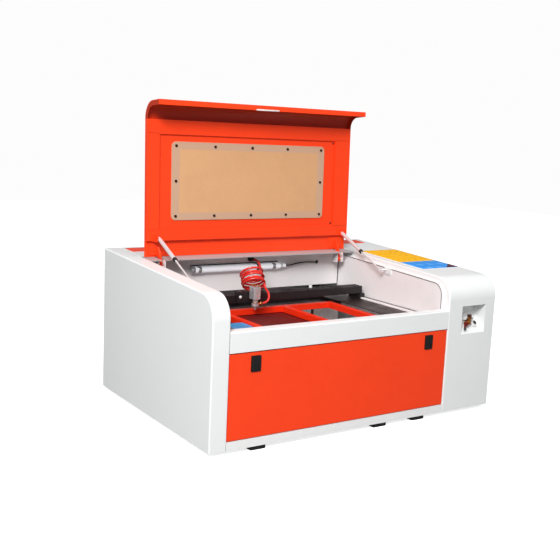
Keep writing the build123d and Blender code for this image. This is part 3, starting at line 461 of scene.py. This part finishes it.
def printed_membrane(name, colour, ink, pitch_mm):
    """Polyester membrane printed from behind: satin film with fine screen texture.

    The ink shows the screen's rulings a few millimetres apart as a faint darker lattice.
    """
    finish, tree, shader, where = blank(name, IOR=1.5, Specular_IOR_Level=0.12)
    mesh_x = add(tree, "TexWave", {"Vector": where, "Scale": per_metre(pitch_mm) / 20,
                                   "Distortion": 0.4, "Detail": 1.0}, bands_direction="X")
    mesh_y = add(tree, "TexWave", {"Vector": where, "Scale": per_metre(pitch_mm) / 20,
                                   "Distortion": 0.4, "Detail": 1.0}, bands_direction="Y")
    lattice = add(tree, "Math", {0: mesh_x.outputs["Fac"], 1: mesh_y.outputs["Fac"]},
                  operation="MULTIPLY")
    cloud = add(tree, "TexNoise", {"Vector": where, "Scale": per_metre(11), "Detail": 4.0})
    blot = add(tree, "Math", {0: lattice.outputs[0], 1: cloud.outputs["Fac"]}, operation="MULTIPLY")
    tint = add(tree, "Mix", {"Factor": blot.outputs[0], "A": colour, "B": ink}, data_type="RGBA")
    skin = add(tree, "Bump", {"Height": cloud.outputs["Fac"], "Strength": 0.12, "Distance": 0.0003})
    connect(tree, shader, Base_Color=tint.outputs["Result"], Normal=skin.outputs[0])
    shader.inputs["Roughness"].default_value = 0.4
    return finish


def polyurethane_hose(name, colour):
    """Translucent polyurethane air hose: glossy, with light passing a little way into it."""
    finish, tree, shader, where = blank(name, IOR=1.5, Subsurface_Weight=0.12, Subsurface_Scale=0.004,
                                        Coat_Weight=0.35, Coat_Roughness=0.1)
    streak = add(tree, "TexNoise", {"Vector": where, "Scale": per_metre(6), "Detail": 3.0})
    dress(tree, shader, (streak.outputs["Fac"], colour, shade(colour, 0.7)), streak.outputs["Fac"],
          (0.2, 0.34))
    return finish


def circuit_board(name, mask, copper):
    """Solder-masked glass epoxy board: tracks 1.6 mm apart under the green mask."""
    finish, tree, shader, where = blank(name, IOR=1.55, Coat_Weight=0.3, Coat_Roughness=0.2)
    tracks = add(tree, "TexBrick", {"Vector": where, "Scale": per_metre(6.4), "Color1": mask,
                                    "Color2": shade(mask, 0.7), "Mortar": copper,
                                    "Mortar Size": 0.03})
    cloud = add(tree, "TexNoise", {"Vector": where, "Scale": per_metre(8), "Detail": 3.0})
    dress(tree, shader, tracks.outputs["Color"], cloud.outputs["Fac"], (0.25, 0.45))
    return finish


FINISHES = {}


def finish_of(name):
    """A finish made earlier by name."""
    if name not in FINISHES:
        raise RuntimeError(f"the finish {name} isn't made yet; run the finishes operator first")
    return FINISHES[name]


def make_finishes(colours):
    """Every finish of the machine."""
    along_x, along_z, across = (0.03, 1.0, 1.0), (1.0, 1.0, 0.03), (0.4, 0.4, 0.4)
    white, orange = tuple(colours.white_coat), tuple(colours.orange_coat)
    FINISHES.update({
        "white_enamel": powder_coat("powder_coat_white", white, 0.965),
        # The deck's strip in front of DECK_EDGE is painted darker, as painted shade below the open lid's
        # edge.
        "deck_white": powder_coat("powder_coat_deck", white, 0.93,
                                  painted_shade=before_edge((DECK_EDGE - Y_MIDDLE) / 1000)),
        # The hollow under the lid's front lip is painted darker, as painted shade under the lip.
        "lid_orange": powder_coat("powder_coat_lid_orange", orange, 0.9, 0.34, painted_shade=inside_lip),
        "inner_grey": powder_coat("powder_coat_chamber_grey", tuple(colours.chamber_grey), 0.93, 0.42),
        "orange_enamel": powder_coat("powder_coat_orange", orange, 0.9, 0.34),
        "frame_orange": powder_coat("powder_coat_clamp_frame", tuple(colours.frame_orange), 0.75, 0.4),
        "black_metal": black_lacquer("stoving_enamel_black", linear("#1A1416")),
        "cover_black": black_lacquer("stoving_enamel_cover_brown_black", linear("#1C0E0B"), 0.25),
        "bed_steel": powder_coat("red_oxide_primer_bed", linear("#6E1614"), 0.6, 0.55),
        "kraft_film": kraft_masked_acrylic("kraft_masked_acrylic", tuple(colours.kraft_paper),
                                           tuple(colours.kraft_shaded_edge)),
        "dark_screw": brushed_metal("blackened_steel_screws", linear("#4A3A34"), across, 0.4),
        "bright_steel": brushed_metal("ground_chromed_rod", linear("#C9CACC"), along_x, 0.2),
        "silver_paint": brushed_metal("silver_lacquered_cylinder", linear("#EDE8EA"), across, 0.34, 0.35),
        "case_steel": brushed_metal("galvanised_steel_case", linear("#9B9DA0"), across, 0.42),
        "head_aluminium": brushed_metal("clear_anodised_aluminium", linear("#D9DADC"), along_z, 0.24, 0.6),
        "brass_bare": brushed_metal("turned_brass", linear("#C9884E"), across, 0.28),
        "rubber_black": moulded_plastic("moulded_nitrile_rubber", linear("#161414"), 1.2, 0.75, 0.3),
        "black_plastic": moulded_plastic("moulded_abs_black", linear("#141212"), 0.9, 0.42, 0.2),
        "port_white": moulded_plastic("moulded_abs_white", linear("#F1F1EF"), 0.9, 0.35, 0.08),
        "brown_plastic": moulded_plastic("phenolic_knob_brown", linear("#4A1A10"), 1.0, 0.3, 0.1),
        "handle_red": moulded_plastic("dipped_vinyl_dark_red", linear("#7A1210"), 1.0, 0.35, 0.1),
        "ball_grey": moulded_plastic("dipped_vinyl_grey", linear("#4B4644"), 1.0, 0.4, 0.1),
        "light_tube": moulded_plastic("opal_polycarbonate_diffuser", linear("#FBFBFF"), 2.0, 0.25, 0.05,
                                      Coat_Weight=0.4, Coat_Roughness=0.1,
                                      Emission_Color=linear("#F6F8FF"), Emission_Strength=0.4),
        "red_hose": polyurethane_hose("polyurethane_air_hose", tuple(colours.hose_red)),
        "clear_glass": drawn_glass("drawn_borosilicate_tube", linear("#DDEFF0")),
        "board_green": circuit_board("solder_masked_board", linear("#0E5A34"), linear("#3F9A63")),
        "yellow_keypad": printed_membrane("membrane_yellow", tuple(colours.key_yellow),
                                          shade(tuple(colours.key_yellow), 0.6), 4.0),
        "blue_keypad": printed_membrane("membrane_blue", tuple(colours.key_blue), linear("#8CC8FF"), 7.0),
        "red_keypad": printed_membrane("membrane_dark_red", linear("#5A0E22"), linear("#160508"), 5.0),
        "blue_film": moulded_plastic("polyethylene_film_blue", linear("#35A8EC"), 2.5, 0.3, 0.3),
        "seam_shadow": powder_coat("powder_coat_orange_in_seam", shade(orange, 0.32), 0.8, 0.5),
    })


# Finish of each node whose own differs from its material slot.
NODE_FINISH = {"clamp_rails": "frame_orange", "clamp_stiles": "frame_orange",
               "rail_covers": "cover_black", "lid_screws": "dark_screw",
               "lid_shell": "lid_orange", "control_panel": "port_white", "strut_studs": "orange_enamel",
               "hinge_brackets": "inner_grey", "strut_rod_left": "silver_paint",
               "strut_rod_right": "silver_paint", "rear_deck": "deck_white", "y_rails": "inner_grey"}


# ---- settings ------------------------------------------------------------
def colour_setting(name, description, code):
    """A colour property whose default is an sRGB hex value."""
    return FloatVectorProperty(name=name, description=description, subtype="COLOR", size=4,
                               min=0.0, max=1.0, default=linear(code))


def length_setting(name, description, default, low, high):
    """A length property in metres."""
    return FloatProperty(name=name, description=description, default=default, min=low, max=high,
                         unit="LENGTH")


def angle_setting(name, description, degrees):
    """An angle property."""
    return FloatProperty(name=name, description=description, default=math.radians(degrees),
                         subtype="ANGLE")


def power_setting(name, description, watts):
    """A lamp's power."""
    return FloatProperty(name=name, description=description, default=watts, min=0.0, max=1000.0,
                         subtype="POWER")


class CutterColours(bpy.types.PropertyGroup):
    """Colours of the coats, the paper, the hose and the keypad."""
    white_coat: colour_setting("White coat", "Powder coat of the body", "#EEF0F0")
    chamber_grey: colour_setting("Chamber grey", "Powder coat inside the work chamber", "#F4F0F0")
    orange_coat: colour_setting("Orange coat", "Powder coat of the lid and door", "#FF451A")
    frame_orange: colour_setting("Frame orange", "Paint of the clamp frame", "#F03010")
    kraft_paper: colour_setting("Kraft paper", "Masking paper of the window", "#DCA97A")
    # Painted shade: this edge colour is darker because the edge gets no light through the sheet from
    # behind.
    kraft_shaded_edge: colour_setting("Kraft edge", "Masking paper pressed under the edge", "#C8A286")
    hose_red: colour_setting("Hose red", "Polyurethane of the air hose", "#F0342C")
    key_yellow: colour_setting("Key field yellow", "Ink of the large key field", "#FFC000")
    key_blue: colour_setting("Display field blue", "Ink of the field round the display", "#2496F2")


class CutterSizes(bpy.types.PropertyGroup):
    """Sizes of the pieces that are made here."""
    hose_diameter: length_setting("Hose diameter", "Outside of the air hose", 0.007, 0.004, 0.01)
    coil_turns: IntProperty(name="Coil turns", description="Turns in the coiled part of the hose",
                            default=5, min=3, max=6)
    key_rise: length_setting("Key rise", "How far a key stands above the keypad", 0.0007, 0.0003, 0.002)
    belt_pitch: length_setting("Belt pitch", "Tooth spacing of the drive belts", 0.005, 0.002, 0.01)
    belt_width: length_setting("Belt width", "Width of the drive belts", 0.006, 0.004, 0.012)


class CutterStage(bpy.types.PropertyGroup):
    """Floor, lights and camera."""
    floor_size: length_setting("Floor size", "Side of the pale floor", 14.0, 4.0, 40.0)
    lens: FloatProperty(name="Lens", description="Focal length on a 36 mm sensor", default=57.22,
                        min=20.0, max=200.0, unit="CAMERA")
    camera_turn: angle_setting("Camera turn", "View direction to the right of +Y", 34.086)
    camera_dip: angle_setting("Camera dip", "View direction below the horizon", 9.392)
    camera_roll: angle_setting("Camera roll", "Turn about the view direction", 2.66)
    sky_light: FloatProperty(name="Sky light", description="Even light from all round",
                             default=0.3, min=0.0, max=3.0)
    overhead_light: power_setting("Overhead light", "Power of the ceiling softbox", 34.0)
    front_light: power_setting("Front light", "Power of the softbox at the front", 235.0)


# Where the stage's things stand, in metres.
CAMERA_SPOT = (-1.5716, -2.23765, 0.8239)
CEILING_BOX = ((0.3, -1.3, 3.8), (0, 0, 0.3), 2.4)      # its place, what it faces and its width
FRONT_BOX = ((-2.85, -2.9, 3.0), (0, 0, 0.4), 1.5)


# ---- operators -----------------------------------------------------------
class CUTTER_OT_stage(bpy.types.Operator):
    """Makes the pale floor, the soft studio lights and the camera"""
    bl_idname = "cutter.stage"
    bl_label = "Stage"

    def execute(self, context):
        settings = context.scene.cutter_stage
        size = settings.floor_size / 2
        mesh = bpy.data.meshes.new("studio_floor")
        mesh.from_pydata([(-size, -size, 0), (size, -size, 0), (size, size, 0), (-size, size, 0)], [],
                         [(0, 1, 2, 3)])
        floor = bpy.data.objects.new("studio_floor", mesh)
        context.scene.collection.objects.link(floor)
        finish, tree, shader, where = blank("matt_studio_paper", Roughness=0.9)
        cloud = add(tree, "TexNoise", {"Vector": where, "Scale": per_metre(400), "Detail": 3.0})
        tint = add(tree, "Mix", {"Factor": cloud.outputs["Fac"], "A": linear("#FFFFFF"),
                                 "B": linear("#FDFDFD")}, data_type="RGBA")
        seen = add(tree, "LightPath").outputs["Is Camera Ray"]
        paper = add(tree, "Mix", {"Factor": seen, "A": linear("#8C8C8C"),
                                  "B": tint.outputs["Result"]}, data_type="RGBA")
        glow = add(tree, "Math", {0: seen, 1: 0.75}, operation="MULTIPLY")
        connect(tree, shader, Base_Color=paper.outputs["Result"], Emission_Strength=glow.outputs[0])
        shader.inputs["Emission Color"].default_value = linear("#FFFFFF")
        mesh.materials.append(finish)

        world = bpy.data.worlds.new("studio_sky")
        world.use_nodes = True
        tree = world.node_tree
        sky = tree.nodes["Background"]
        sky.inputs["Color"].default_value = linear("#FFFFFF")
        seen = add(tree, "LightPath").outputs["Is Camera Ray"]
        strength = add(tree, "MapRange", {"Value": seen, "To Min": settings.sky_light, "To Max": 0.98})
        tree.links.new(strength.outputs[0], sky.inputs["Strength"])
        context.scene.world = world
        for name, (spot, aim, wide), power in (("ceiling_softbox", CEILING_BOX, settings.overhead_light),
                                               ("front_softbox", FRONT_BOX, settings.front_light)):
            light = bpy.data.lights.new(name, "AREA")
            light.size, light.energy = wide, power
            holder = bpy.data.objects.new(name, light)
            holder.location = spot
            aim_line = Vector(aim) - Vector(spot)
            holder.rotation_euler = aim_line.to_track_quat("-Z", "Y").to_euler()
            context.scene.collection.objects.link(holder)

        a, e, roll = settings.camera_turn, settings.camera_dip, settings.camera_roll
        forward = Vector((math.sin(a) * math.cos(e), math.cos(a) * math.cos(e), -math.sin(e)))
        level = Vector((math.cos(a), -math.sin(a), 0.0))
        upright = level.cross(forward)
        right = level * math.cos(roll) + upright * math.sin(roll)
        up = upright * math.cos(roll) - level * math.sin(roll)
        camera = bpy.data.objects.new("camera", bpy.data.cameras.new("camera"))
        turn = Matrix((right, up, -forward)).transposed().to_4x4()
        camera.matrix_world = Matrix.Translation(CAMERA_SPOT) @ turn
        camera.data.lens, camera.data.sensor_width = settings.lens, 36.0
        camera.data.clip_end = 60.0
        context.scene.collection.objects.link(camera)
        context.scene.camera = camera
        context.scene.view_settings.view_transform = "Standard"
        return {"FINISHED"}


class CUTTER_OT_finishes(bpy.types.Operator):
    """Makes the finishes and gives each machine part its own"""
    bl_idname = "cutter.finishes"
    bl_label = "Finishes"

    def execute(self, context):
        make_finishes(context.scene.cutter_colours)
        slots = {part["node"]: part["material_slot"] for part in frame["record"]["subparts"]}
        for name, node in frame["nodes"].items():
            node.data.materials.clear()
            node.data.materials.append(finish_of(NODE_FINISH.get(name, slots[name])))
        return {"FINISHED"}


def hose_line(name, points):
    """Control points in machine mm to a smooth line: a NURBS spline of order 3 through its ends."""
    curve = bpy.data.curves.new(name, "CURVE")
    curve.dimensions, curve.resolution_u = "3D", 8
    spline = curve.splines.new("NURBS")
    spline.points.add(len(points) - 1)
    spot = np.column_stack([place(points), np.ones(len(points))])
    spline.points.foreach_set("co", spot.ravel())
    spline.order_u, spline.use_endpoint_u = 3, True
    holder = bpy.data.objects.new(name, curve)
    bpy.context.scene.collection.objects.link(holder)
    line = bpy.data.meshes.new_from_object(holder)
    path = np.empty(len(line.vertices) * 3)
    line.vertices.foreach_get("co", path)
    bpy.data.objects.remove(holder)
    return path.reshape(-1, 3) * 1000.0 + (0.0, Y_MIDDLE, 0.0)


COIL_START = np.array((-107.0, 458.0, FOOT + 382.5))
COIL_END = np.array((-117.0, 420.0, FOOT + 335.5))
COIL_LENGTH = float(np.linalg.norm(COIL_END - COIL_START))
TURN_RADIUS = 34.5      # to the middle of the hose
FITTING = (-64.0, 514.0, FOOT + 408.0)


def on_turn(distance, degrees, radius=TURN_RADIUS):
    """Points at a distance along the coil's axis, and round it from the right side, upwards.

    Start + distance * axis + radius * (cos a * right + sin a * axis x right).
    """
    axis = (COIL_END - COIL_START) / COIL_LENGTH
    right = np.array((1.0, 0.0, 0.0)) - axis * axis[0]
    right /= np.linalg.norm(right)
    distance, angle, radius = np.broadcast_arrays(distance, np.radians(degrees), radius)
    return (COIL_START + distance[..., None] * axis + radius[..., None] * (
        np.cos(angle)[..., None] * right + np.sin(angle)[..., None] * np.cross(axis, right)))


HOSE_TAIL = [FITTING, (-64, 503.5, 420), (-61.5, 489.5, 416), (-65.5, 474.5, 408.5),
             tuple(on_turn(-12, 0)), tuple(on_turn(0, 0))]
HOSE_END = [tuple(on_turn(COIL_LENGTH, 50)), tuple(on_turn(COIL_LENGTH + 11, 50)), (-99.5, 379.5, 348.8),
            (-102, 366.5, 345), (-104.5, 355.5, 337), (-108, 348.5, 326), (-117, 344.5, 317.5),
            (-133, 343, NOZZLE_PORT), (LENS_AXIS[0] + 11.2, 343, NOZZLE_PORT)]


def coil_points(turns):
    """Helix about the coil's axis, 12 points to a turn, from the tail to 50 degrees past its start.

    The radius wavers by 5 % once every 1.7 turns, and each turn leans, so that the distance along
    the axis gains 2.6 sin(a + 0.7) + 1.3 sin(a / 2.6). At both ends the hose turns along the axis.
    """
    last = 360 * turns + 50
    degrees = np.linspace(24, last - 24, 12 * turns)
    angle = np.radians(degrees)
    radius = TURN_RADIUS * 1.015 * (1 + 0.05 * np.sin(angle / 1.7))
    share = np.linspace(0, 1, len(degrees))
    ramp = np.clip(6 * np.minimum(share, 1 - share), 0, 1)
    lean = 2.6 * np.sin(angle + 0.7) + 1.3 * np.sin(angle / 2.6)
    along = 6.5 + share * (COIL_LENGTH - 13) + ramp * lean
    ends = on_turn(np.array((0, 5, COIL_LENGTH - 5, COIL_LENGTH)), np.array((0, 4, last - 4, last)))
    return np.concatenate([ends[:2], on_turn(along, degrees, radius), ends[2:]])


class CUTTER_OT_air_hose(bpy.types.Operator):
    """Makes the red air hose from the fitting at the back through its coil to the laser head"""
    bl_idname = "cutter.air_hose"
    bl_label = "Air hose"

    def execute(self, context):
        sizes = context.scene.cutter_sizes
        radius = sizes.hose_diameter * 500
        for name, points, lay, bodies in (
                ("hose_tail", HOSE_TAIL, "hanging", ("root", "gantry")),
                ("hose_coil", coil_points(sizes.coil_turns), "coiled", ("gantry", "head")),
                ("hose_end", HOSE_END, "loose", ("head", None))):
            path = hose_line(name, points)
            piece = surface(name, tube(path, radius), "red_hose", None)
            if bodies[1]:
                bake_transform(piece)
            else:
                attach(piece, bodies[0])
            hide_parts("air_" + name)
        return {"FINISHED"}


def on_console(grid, x, y, lift):
    """A pad's own x, y, z laid on the console's sloping top at (x, y), lift above it."""
    slope = math.atan(TOP_SLOPE)
    out = np.empty_like(grid)
    out[..., 0] = x + grid[..., 0]
    out[..., 1] = y + grid[..., 1] * math.cos(slope) - grid[..., 2] * math.sin(slope)
    out[..., 2] = top(y) + grid[..., 1] * math.sin(slope) + grid[..., 2] * math.cos(slope) + lift
    return out


class CUTTER_OT_keypad(bpy.types.Operator):
    """Makes the yellow key field, the blue display field and the dark red field with their keys"""
    bl_idname = "cutter.keypad"
    bl_label = "Keypad"

    def execute(self, context):
        rise = context.scene.cutter_sizes.key_rise * 1000
        fields = (("field_yellow", (336.5, 489.5, 266.5, 466.5), "yellow_keypad"),
                  ("field_blue", (336.5, 489.5, 157.5, 266.5), "blue_keypad"))
        for name, (x0, x1, y0, y1), finish in fields:
            grid = pad(x1 - x0, y1 - y0, 3.5, 0.5, 0.4)
            crease(surface(name, on_console(grid, (x0 + x1) / 2, (y0 + y1) / 2, KEY_LIFT - 0.5), finish,
                           "root"))
        corner = np.array([(438.0, 158), (489, 158), (489, 206)])       # the dark red triangle
        middle = corner.mean(axis=0)
        rows = [np.column_stack([(corner - middle) * share, np.full(3, height)])
                for share, height in ((1, -0.4), (1, 0.35), (0.98, 0.5), (0.5, 0.5), (0.02, 0.5))]
        crease(surface("field_dark_red", on_console(np.array(rows), *middle, KEY_LIFT + 0.1), "red_keypad",
                       "root"))
        for column in range(5):
            for row in range(6):
                grid = pad(22, 24, 4, rise, 0.6, 0.5, 5)
                surface(f"key_yellow_{column}_{row}",
                        on_console(grid, 357 + column * 28, 285 + row * 32.4, KEY_LIFT),
                        "yellow_keypad", "root")
        for column in range(3):
            grid = pad(22, 18, 4, rise, 0.6, 0.5, 5)
            surface(f"key_blue_{column}", on_console(grid, 354 + column * 29, 175, KEY_LIFT),
                    "blue_keypad", "root")
        grid = pad(78, 50, 3, 0.5, 0.5)
        surface("display_glass", on_console(grid, 384, 225, KEY_LIFT), "blue_keypad", "root")
        return {"FINISHED"}


def belt_grid(start, end, width, pitch, thick=1.4, tooth=1.1):
    """Toothed belt along a straight run: the inner face steps out by a rounded tooth each pitch.

    At distance s the inner height is thick + tooth * clip(0.5 + cos(2 pi s / pitch), 0, 1).
    """
    start, end = np.array(start, float), np.array(end, float)
    length = np.linalg.norm(end - start)
    run = (end - start) / length
    side = np.cross(run, (0.0, 0.0, 1.0))
    s = np.linspace(0, length, int(length / pitch * 6))
    inner = thick / 2 + tooth * np.clip(0.5 + np.cos(2 * math.pi * s / pitch), 0, 1)
    rows = []
    for across, height in ((-1, -1), (1, -1), (1, 1), (-1, 1)):
        drop = -inner if height < 0 else np.full_like(s, thick / 2)
        rows.append(start + s[:, None] * run + across * width / 2 * side
                    + drop[:, None] * np.array((0.0, 0.0, 1.0)))
    return np.stack(rows, axis=1)


class CUTTER_OT_belts(bpy.types.Operator):
    """Makes the toothed drive belts along the beam and beside the guide rails"""
    bl_idname = "cutter.belts"
    bl_label = "Belts"

    def execute(self, context):
        sizes = context.scene.cutter_sizes
        width, pitch = sizes.belt_width * 1000, sizes.belt_pitch * 1000
        surface("belt_beam", belt_grid((-385, 399, 336.6), (240, 399, 336.6), width, pitch),
                "rubber_black", "gantry", smooth=False)
        for name, x in (("belt_left", -430), ("belt_right", 286)):
            surface(name, belt_grid((x, 60, BELT_LEVEL), (x, 505, BELT_LEVEL), width, pitch),
                    "rubber_black", "root", smooth=False)
        return {"FINISHED"}


class CUTTER_OT_lid_trim(bpy.types.Operator):
    """Makes the pull on the lid's lip, the seam lines, and two black discs painted as shade in corners of
    its inner frame
    """
    bl_idname = "cutter.lid_trim"
    bl_label = "Lid trim"

    def execute(self, context):
        grid = opened(bar_grid((-121, 21.5, 327.5), (-38, 21.5, 327.5), 5, 4, 1.5))
        surface("lip_pull", grid, "port_white", "lid")
        for side, (x0, x1) in (("left", (-442.5, -405)), ("right", (241, 298.5))):
            for end, y in (("top", 98.0), ("bottom", 381.0)):
                z = float(top(y)) - 15.15
                grid = opened(bar_grid((x0, y, z), (x1, y, z), 0.9, 0.5, 0.15))
                surface(f"stile_seam_{side}_{end}", grid, "seam_shadow", "lid")
        # Flat black discs at two corners of the recess, painted as the shade in those corners.
        for end, y in (("top", 108.0), ("bottom", 372.0)):
            grid = revolve([(0, 0), (3.4, 0), (3.4, 0.4), (0, 0.5)],
                           (233.5, y, float(top(y)) - 9.2), (0, 0, -1), 20)
            surface(f"corner_shade_disc_{end}", opened(grid), "black_plastic", "lid")
        return {"FINISHED"}


class CUTTER_OT_beam_trim(bpy.types.Operator):
    """Makes the beam's white cap and the carriage's white button"""
    bl_idname = "cutter.beam_trim"
    bl_label = "Beam trim"

    def execute(self, context):
        knob = [(0, 0), (5, 0), (5.4, 1), (5.4, 6), (4.6, 8), (2.5, 9), (0, 9.2)]
        surface("beam_knob", revolve(knob, (82, 399, 339), (0, 0, 1)), "port_white", "gantry")
        button = [(0, 0), (4.5, 0), (4.5, 2), (3.6, 3.2), (0, 3.6)]
        surface("carriage_button", revolve(button, (-202, 362, 334), (0, -1, 0)), "port_white", "head")
        return {"FINISHED"}


class CUTTER_OT_strut_trim(bpy.types.Operator):
    """Makes the black gland where each rod enters its gas cylinder"""
    bl_idname = "cutter.strut_trim"
    bl_label = "Strut trim"

    def execute(self, context):
        gland = [(3.9, -3.5), (5.6, -3.5), (6.7, -2.6), (6.7, 5.0), (6.1, 6.0), (6.05, 6.0)]
        for name, x in STRUT_XS:
            wall, lid = np.array((x, *STRUT_WALL)), np.array((x, *STRUT_LID))
            run = (lid - wall) / np.linalg.norm(lid - wall)
            surface(f"strut_gland_{name}", revolve(gland, lid - run * CYLINDER_LENGTH, run),
                    "black_plastic", f"strut_cylinder_{name}")
        return {"FINISHED"}


class CUTTER_OT_light_trim(bpy.types.Operator):
    """Makes the work light's end cap, clips, holder and nut, and a black strip above it painted as shade"""
    bl_idname = "cutter.light_trim"
    bl_label = "Light trim"

    def execute(self, context):
        clip = [(9.1, 0), (10.6, 0.5), (10.6, 11.5), (9.1, 12)]
        nut = [(0, 0), (6.6, 0), (6.6, 8), (5, 10), (0, 10)]
        for name, profile, x, finish, caps, count in (
                ("cap", [(0, 0), (9.6, 0)] + clip[1:], -284, "head_aluminium", True, 32),
                ("clip_0", clip + clip[:1], -262, "head_aluminium", False, 32),
                ("clip_1", clip + clip[:1], 12, "head_aluminium", False, 32),
                ("holder", clip + clip[:1], -48, "black_plastic", False, 32),
                ("nut", nut, 44, "port_white", True, 12)):
            surface(f"light_tube_{name}", revolve(profile, (x, *LIGHT_AXIS), (1, 0, 0), count),
                    finish, "root", caps=caps)
        # A black strip on the wall right above the tube, painted as the shade there.
        surface("shade_strip_above_light", bar_grid((-280, 534.2, 406.5), (42, 534.2, 406.5), 5, 3, 0.8),
                "black_metal", "root")
        return {"FINISHED"}


class CUTTER_OT_head_trim(bpy.types.Operator):
    """Makes the lens tube's rings, the mirror's screws and the nozzle's collar"""
    bl_idname = "cutter.head_trim"
    bl_label = "Head trim"

    def execute(self, context):
        ring = [(8.2, 0), (10.9, 0.3), (10.9, 1.4), (8.2, 1.7)]
        for k, (z, metal) in enumerate(((317.15, "brass_bare"), (307.2, "head_aluminium"))):
            surface(f"lens_ring_{k}", revolve(ring + ring[:1], (*LENS_AXIS, z), (0, 0, 1)), metal,
                    "lens", caps=False)
        screw = [(0, 0), (2.2, 0), (2.2, 1.5), (3.2, 2), (3.2, 6), (2.6, 6.8), (0, 7)]
        for k, (x, y) in enumerate(((-167, 337), (-153, 337), (-167, 351))):
            surface(f"mirror_screw_{k}", revolve(screw, (x, y, 366.8), (0, 0, 1), 16), "brass_bare", "head")
        collar = [(5.0, 0), (6.4, 1), (6.4, 9), (5.0, 10), (3.2, 10), (3.2, 0)]
        surface("nozzle_collar", revolve(collar, (-146, LENS_AXIS[1], NOZZLE_PORT), (1, 0, 0), 20),
                "brass_bare", "head")
        return {"FINISHED"}


class CUTTER_OT_gas_trim(bpy.types.Operator):
    """Makes the valve's arms, the socket in the white port and the ball on the valve's handle"""
    bl_idname = "cutter.gas_trim"
    bl_label = "Gas pocket trim"

    def execute(self, context):
        surface("valve_arms", bar_grid((379, 12, 288), (406, 12, 286), 4, 3, 1), "black_metal", "root")
        # The pocket's floor rises 52 over a depth of 44, and the port stands square to it.
        floor_normal = np.array((0, -52.0, 44.0)) / math.hypot(52, 44)
        port = np.array((431.0, 20.0, FOOT + 236.0 + 52 * 20 / 44)) + floor_normal * 8.05
        socket = [(0, 0), (5.6, 0), (5.6, 1.2), (4.2, 1.8), (3.4, 0.6), (0, 0.5)]
        surface("port_socket", revolve(socket, port, floor_normal), "black_plastic", "root")
        ball = [(0, -4.4), (2.4, -3.7), (3.9, -2), (4.4, 0), (3.9, 2), (2.4, 3.7), (0, 4.4)]
        surface("handle_ball", revolve(ball, (380, 1.5, 263), (0, 0, 1), 24), "ball_grey",
                "valve_handle")
        return {"FINISHED"}


class CUTTER_OT_bed_trim(bpy.types.Operator):
    """Makes the scrap tray and chute under the open bay, the black skirt, the blue film and the seal"""
    bl_idname = "cutter.bed_trim"
    bl_label = "Bed trim"

    def execute(self, context):
        tray = pad(250, 390, 6, 1.5, 0.8) + (124, 266, 172)
        surface("scrap_tray", tray, "inner_grey", "root")
        for name, x0, x1, y, z, height, finish, slot in (
                ("scrap_chute", 146, 247, 461.5, 216, 90, "port_white", "inner_grey"),
                ("bed_skirt", -404.4, 260.4, 464, 281, 42, "black_metal", None)):
            surface(name, bar_grid((x0, y, z), (x1, y, z), 2, height, 0.6), finish, "root",
                    smooth=False)
        self.make_film()
        self.make_seal()
        return {"FINISHED"}

    def make_film(self):
        """Blue film left on the bed: z = 287 + 4 (1 - v) sin(6u + 2v) sin(9v) over u, v from 0 to 1."""
        u, v = np.meshgrid(np.linspace(0, 1, 40), np.linspace(0, 1, 30), indexing="ij")
        film = np.stack([-330 + 62 * u, 70 + 170 * v,
                         287 + 4 * np.sin(6 * u + 2 * v) * np.sin(9 * v) * (1 - v)], axis=-1)
        surface("protective_film", film, "blue_film", "root", around=False)

    def make_seal(self):
        """Rubber cord on the right wall: down the slope, round a quarter bend of radius 34, and down."""
        x, bend = 296.6, 34
        y = np.linspace(529, 66, 60)
        slope = np.column_stack([np.full(60, x), y, top(y) - 19.4])
        turn = np.linspace(0.05, math.pi / 2, 14)
        knee = np.column_stack([np.full(14, x), 62.4 - bend * np.sin(turn),
                                float(top(62)) - 19.6 - bend * (1 - np.cos(turn))])
        drop = np.column_stack([np.full(6, x), np.full(6, 62.4 - bend), np.linspace(360, 326, 6)])
        surface("seal_right", tube(np.concatenate([slope, knee, drop]), 0.9, 8), "rubber_black", "root")


class CUTTER_PT_panel(bpy.types.Panel):
    """Sidebar panel with the machine's settings and pieces."""
    bl_label = "Laser cutter"
    bl_idname = "CUTTER_PT_panel"
    bl_space_type = "VIEW_3D"
    bl_region_type = "UI"
    bl_category = "Laser cutter"

    def draw(self, context):
        for group in (context.scene.cutter_colours, context.scene.cutter_sizes,
                      context.scene.cutter_stage):
            box = self.layout.box()
            for name in group.__annotations__:
                box.prop(group, name)
        for operator in OPERATORS:
            self.layout.operator(operator.bl_idname)


OPERATORS = (CUTTER_OT_stage, CUTTER_OT_finishes, CUTTER_OT_air_hose, CUTTER_OT_keypad,
             CUTTER_OT_belts, CUTTER_OT_lid_trim, CUTTER_OT_beam_trim, CUTTER_OT_strut_trim,
             CUTTER_OT_light_trim, CUTTER_OT_head_trim, CUTTER_OT_gas_trim, CUTTER_OT_bed_trim)
GROUPS = (CutterColours, CutterSizes, CutterStage)


def register():
    """Registers the classes and hangs the settings on the scene."""
    for cls in (*GROUPS, *OPERATORS, CUTTER_PT_panel):
        bpy.utils.register_class(cls)
    bpy.types.Scene.cutter_colours = PointerProperty(type=CutterColours)
    bpy.types.Scene.cutter_sizes = PointerProperty(type=CutterSizes)
    bpy.types.Scene.cutter_stage = PointerProperty(type=CutterStage)


def unregister():
    """Takes the settings and the classes away again."""
    del bpy.types.Scene.cutter_colours, bpy.types.Scene.cutter_sizes, bpy.types.Scene.cutter_stage
    for cls in reversed((*GROUPS, *OPERATORS, CUTTER_PT_panel)):
        bpy.utils.unregister_class(cls)


def main():
    """Makes every piece in order."""
    register()
    for operator in OPERATORS:
        group, name = operator.bl_idname.split(".")
        getattr(getattr(bpy.ops, group), name)()


if __name__ == "__main__":
    main()
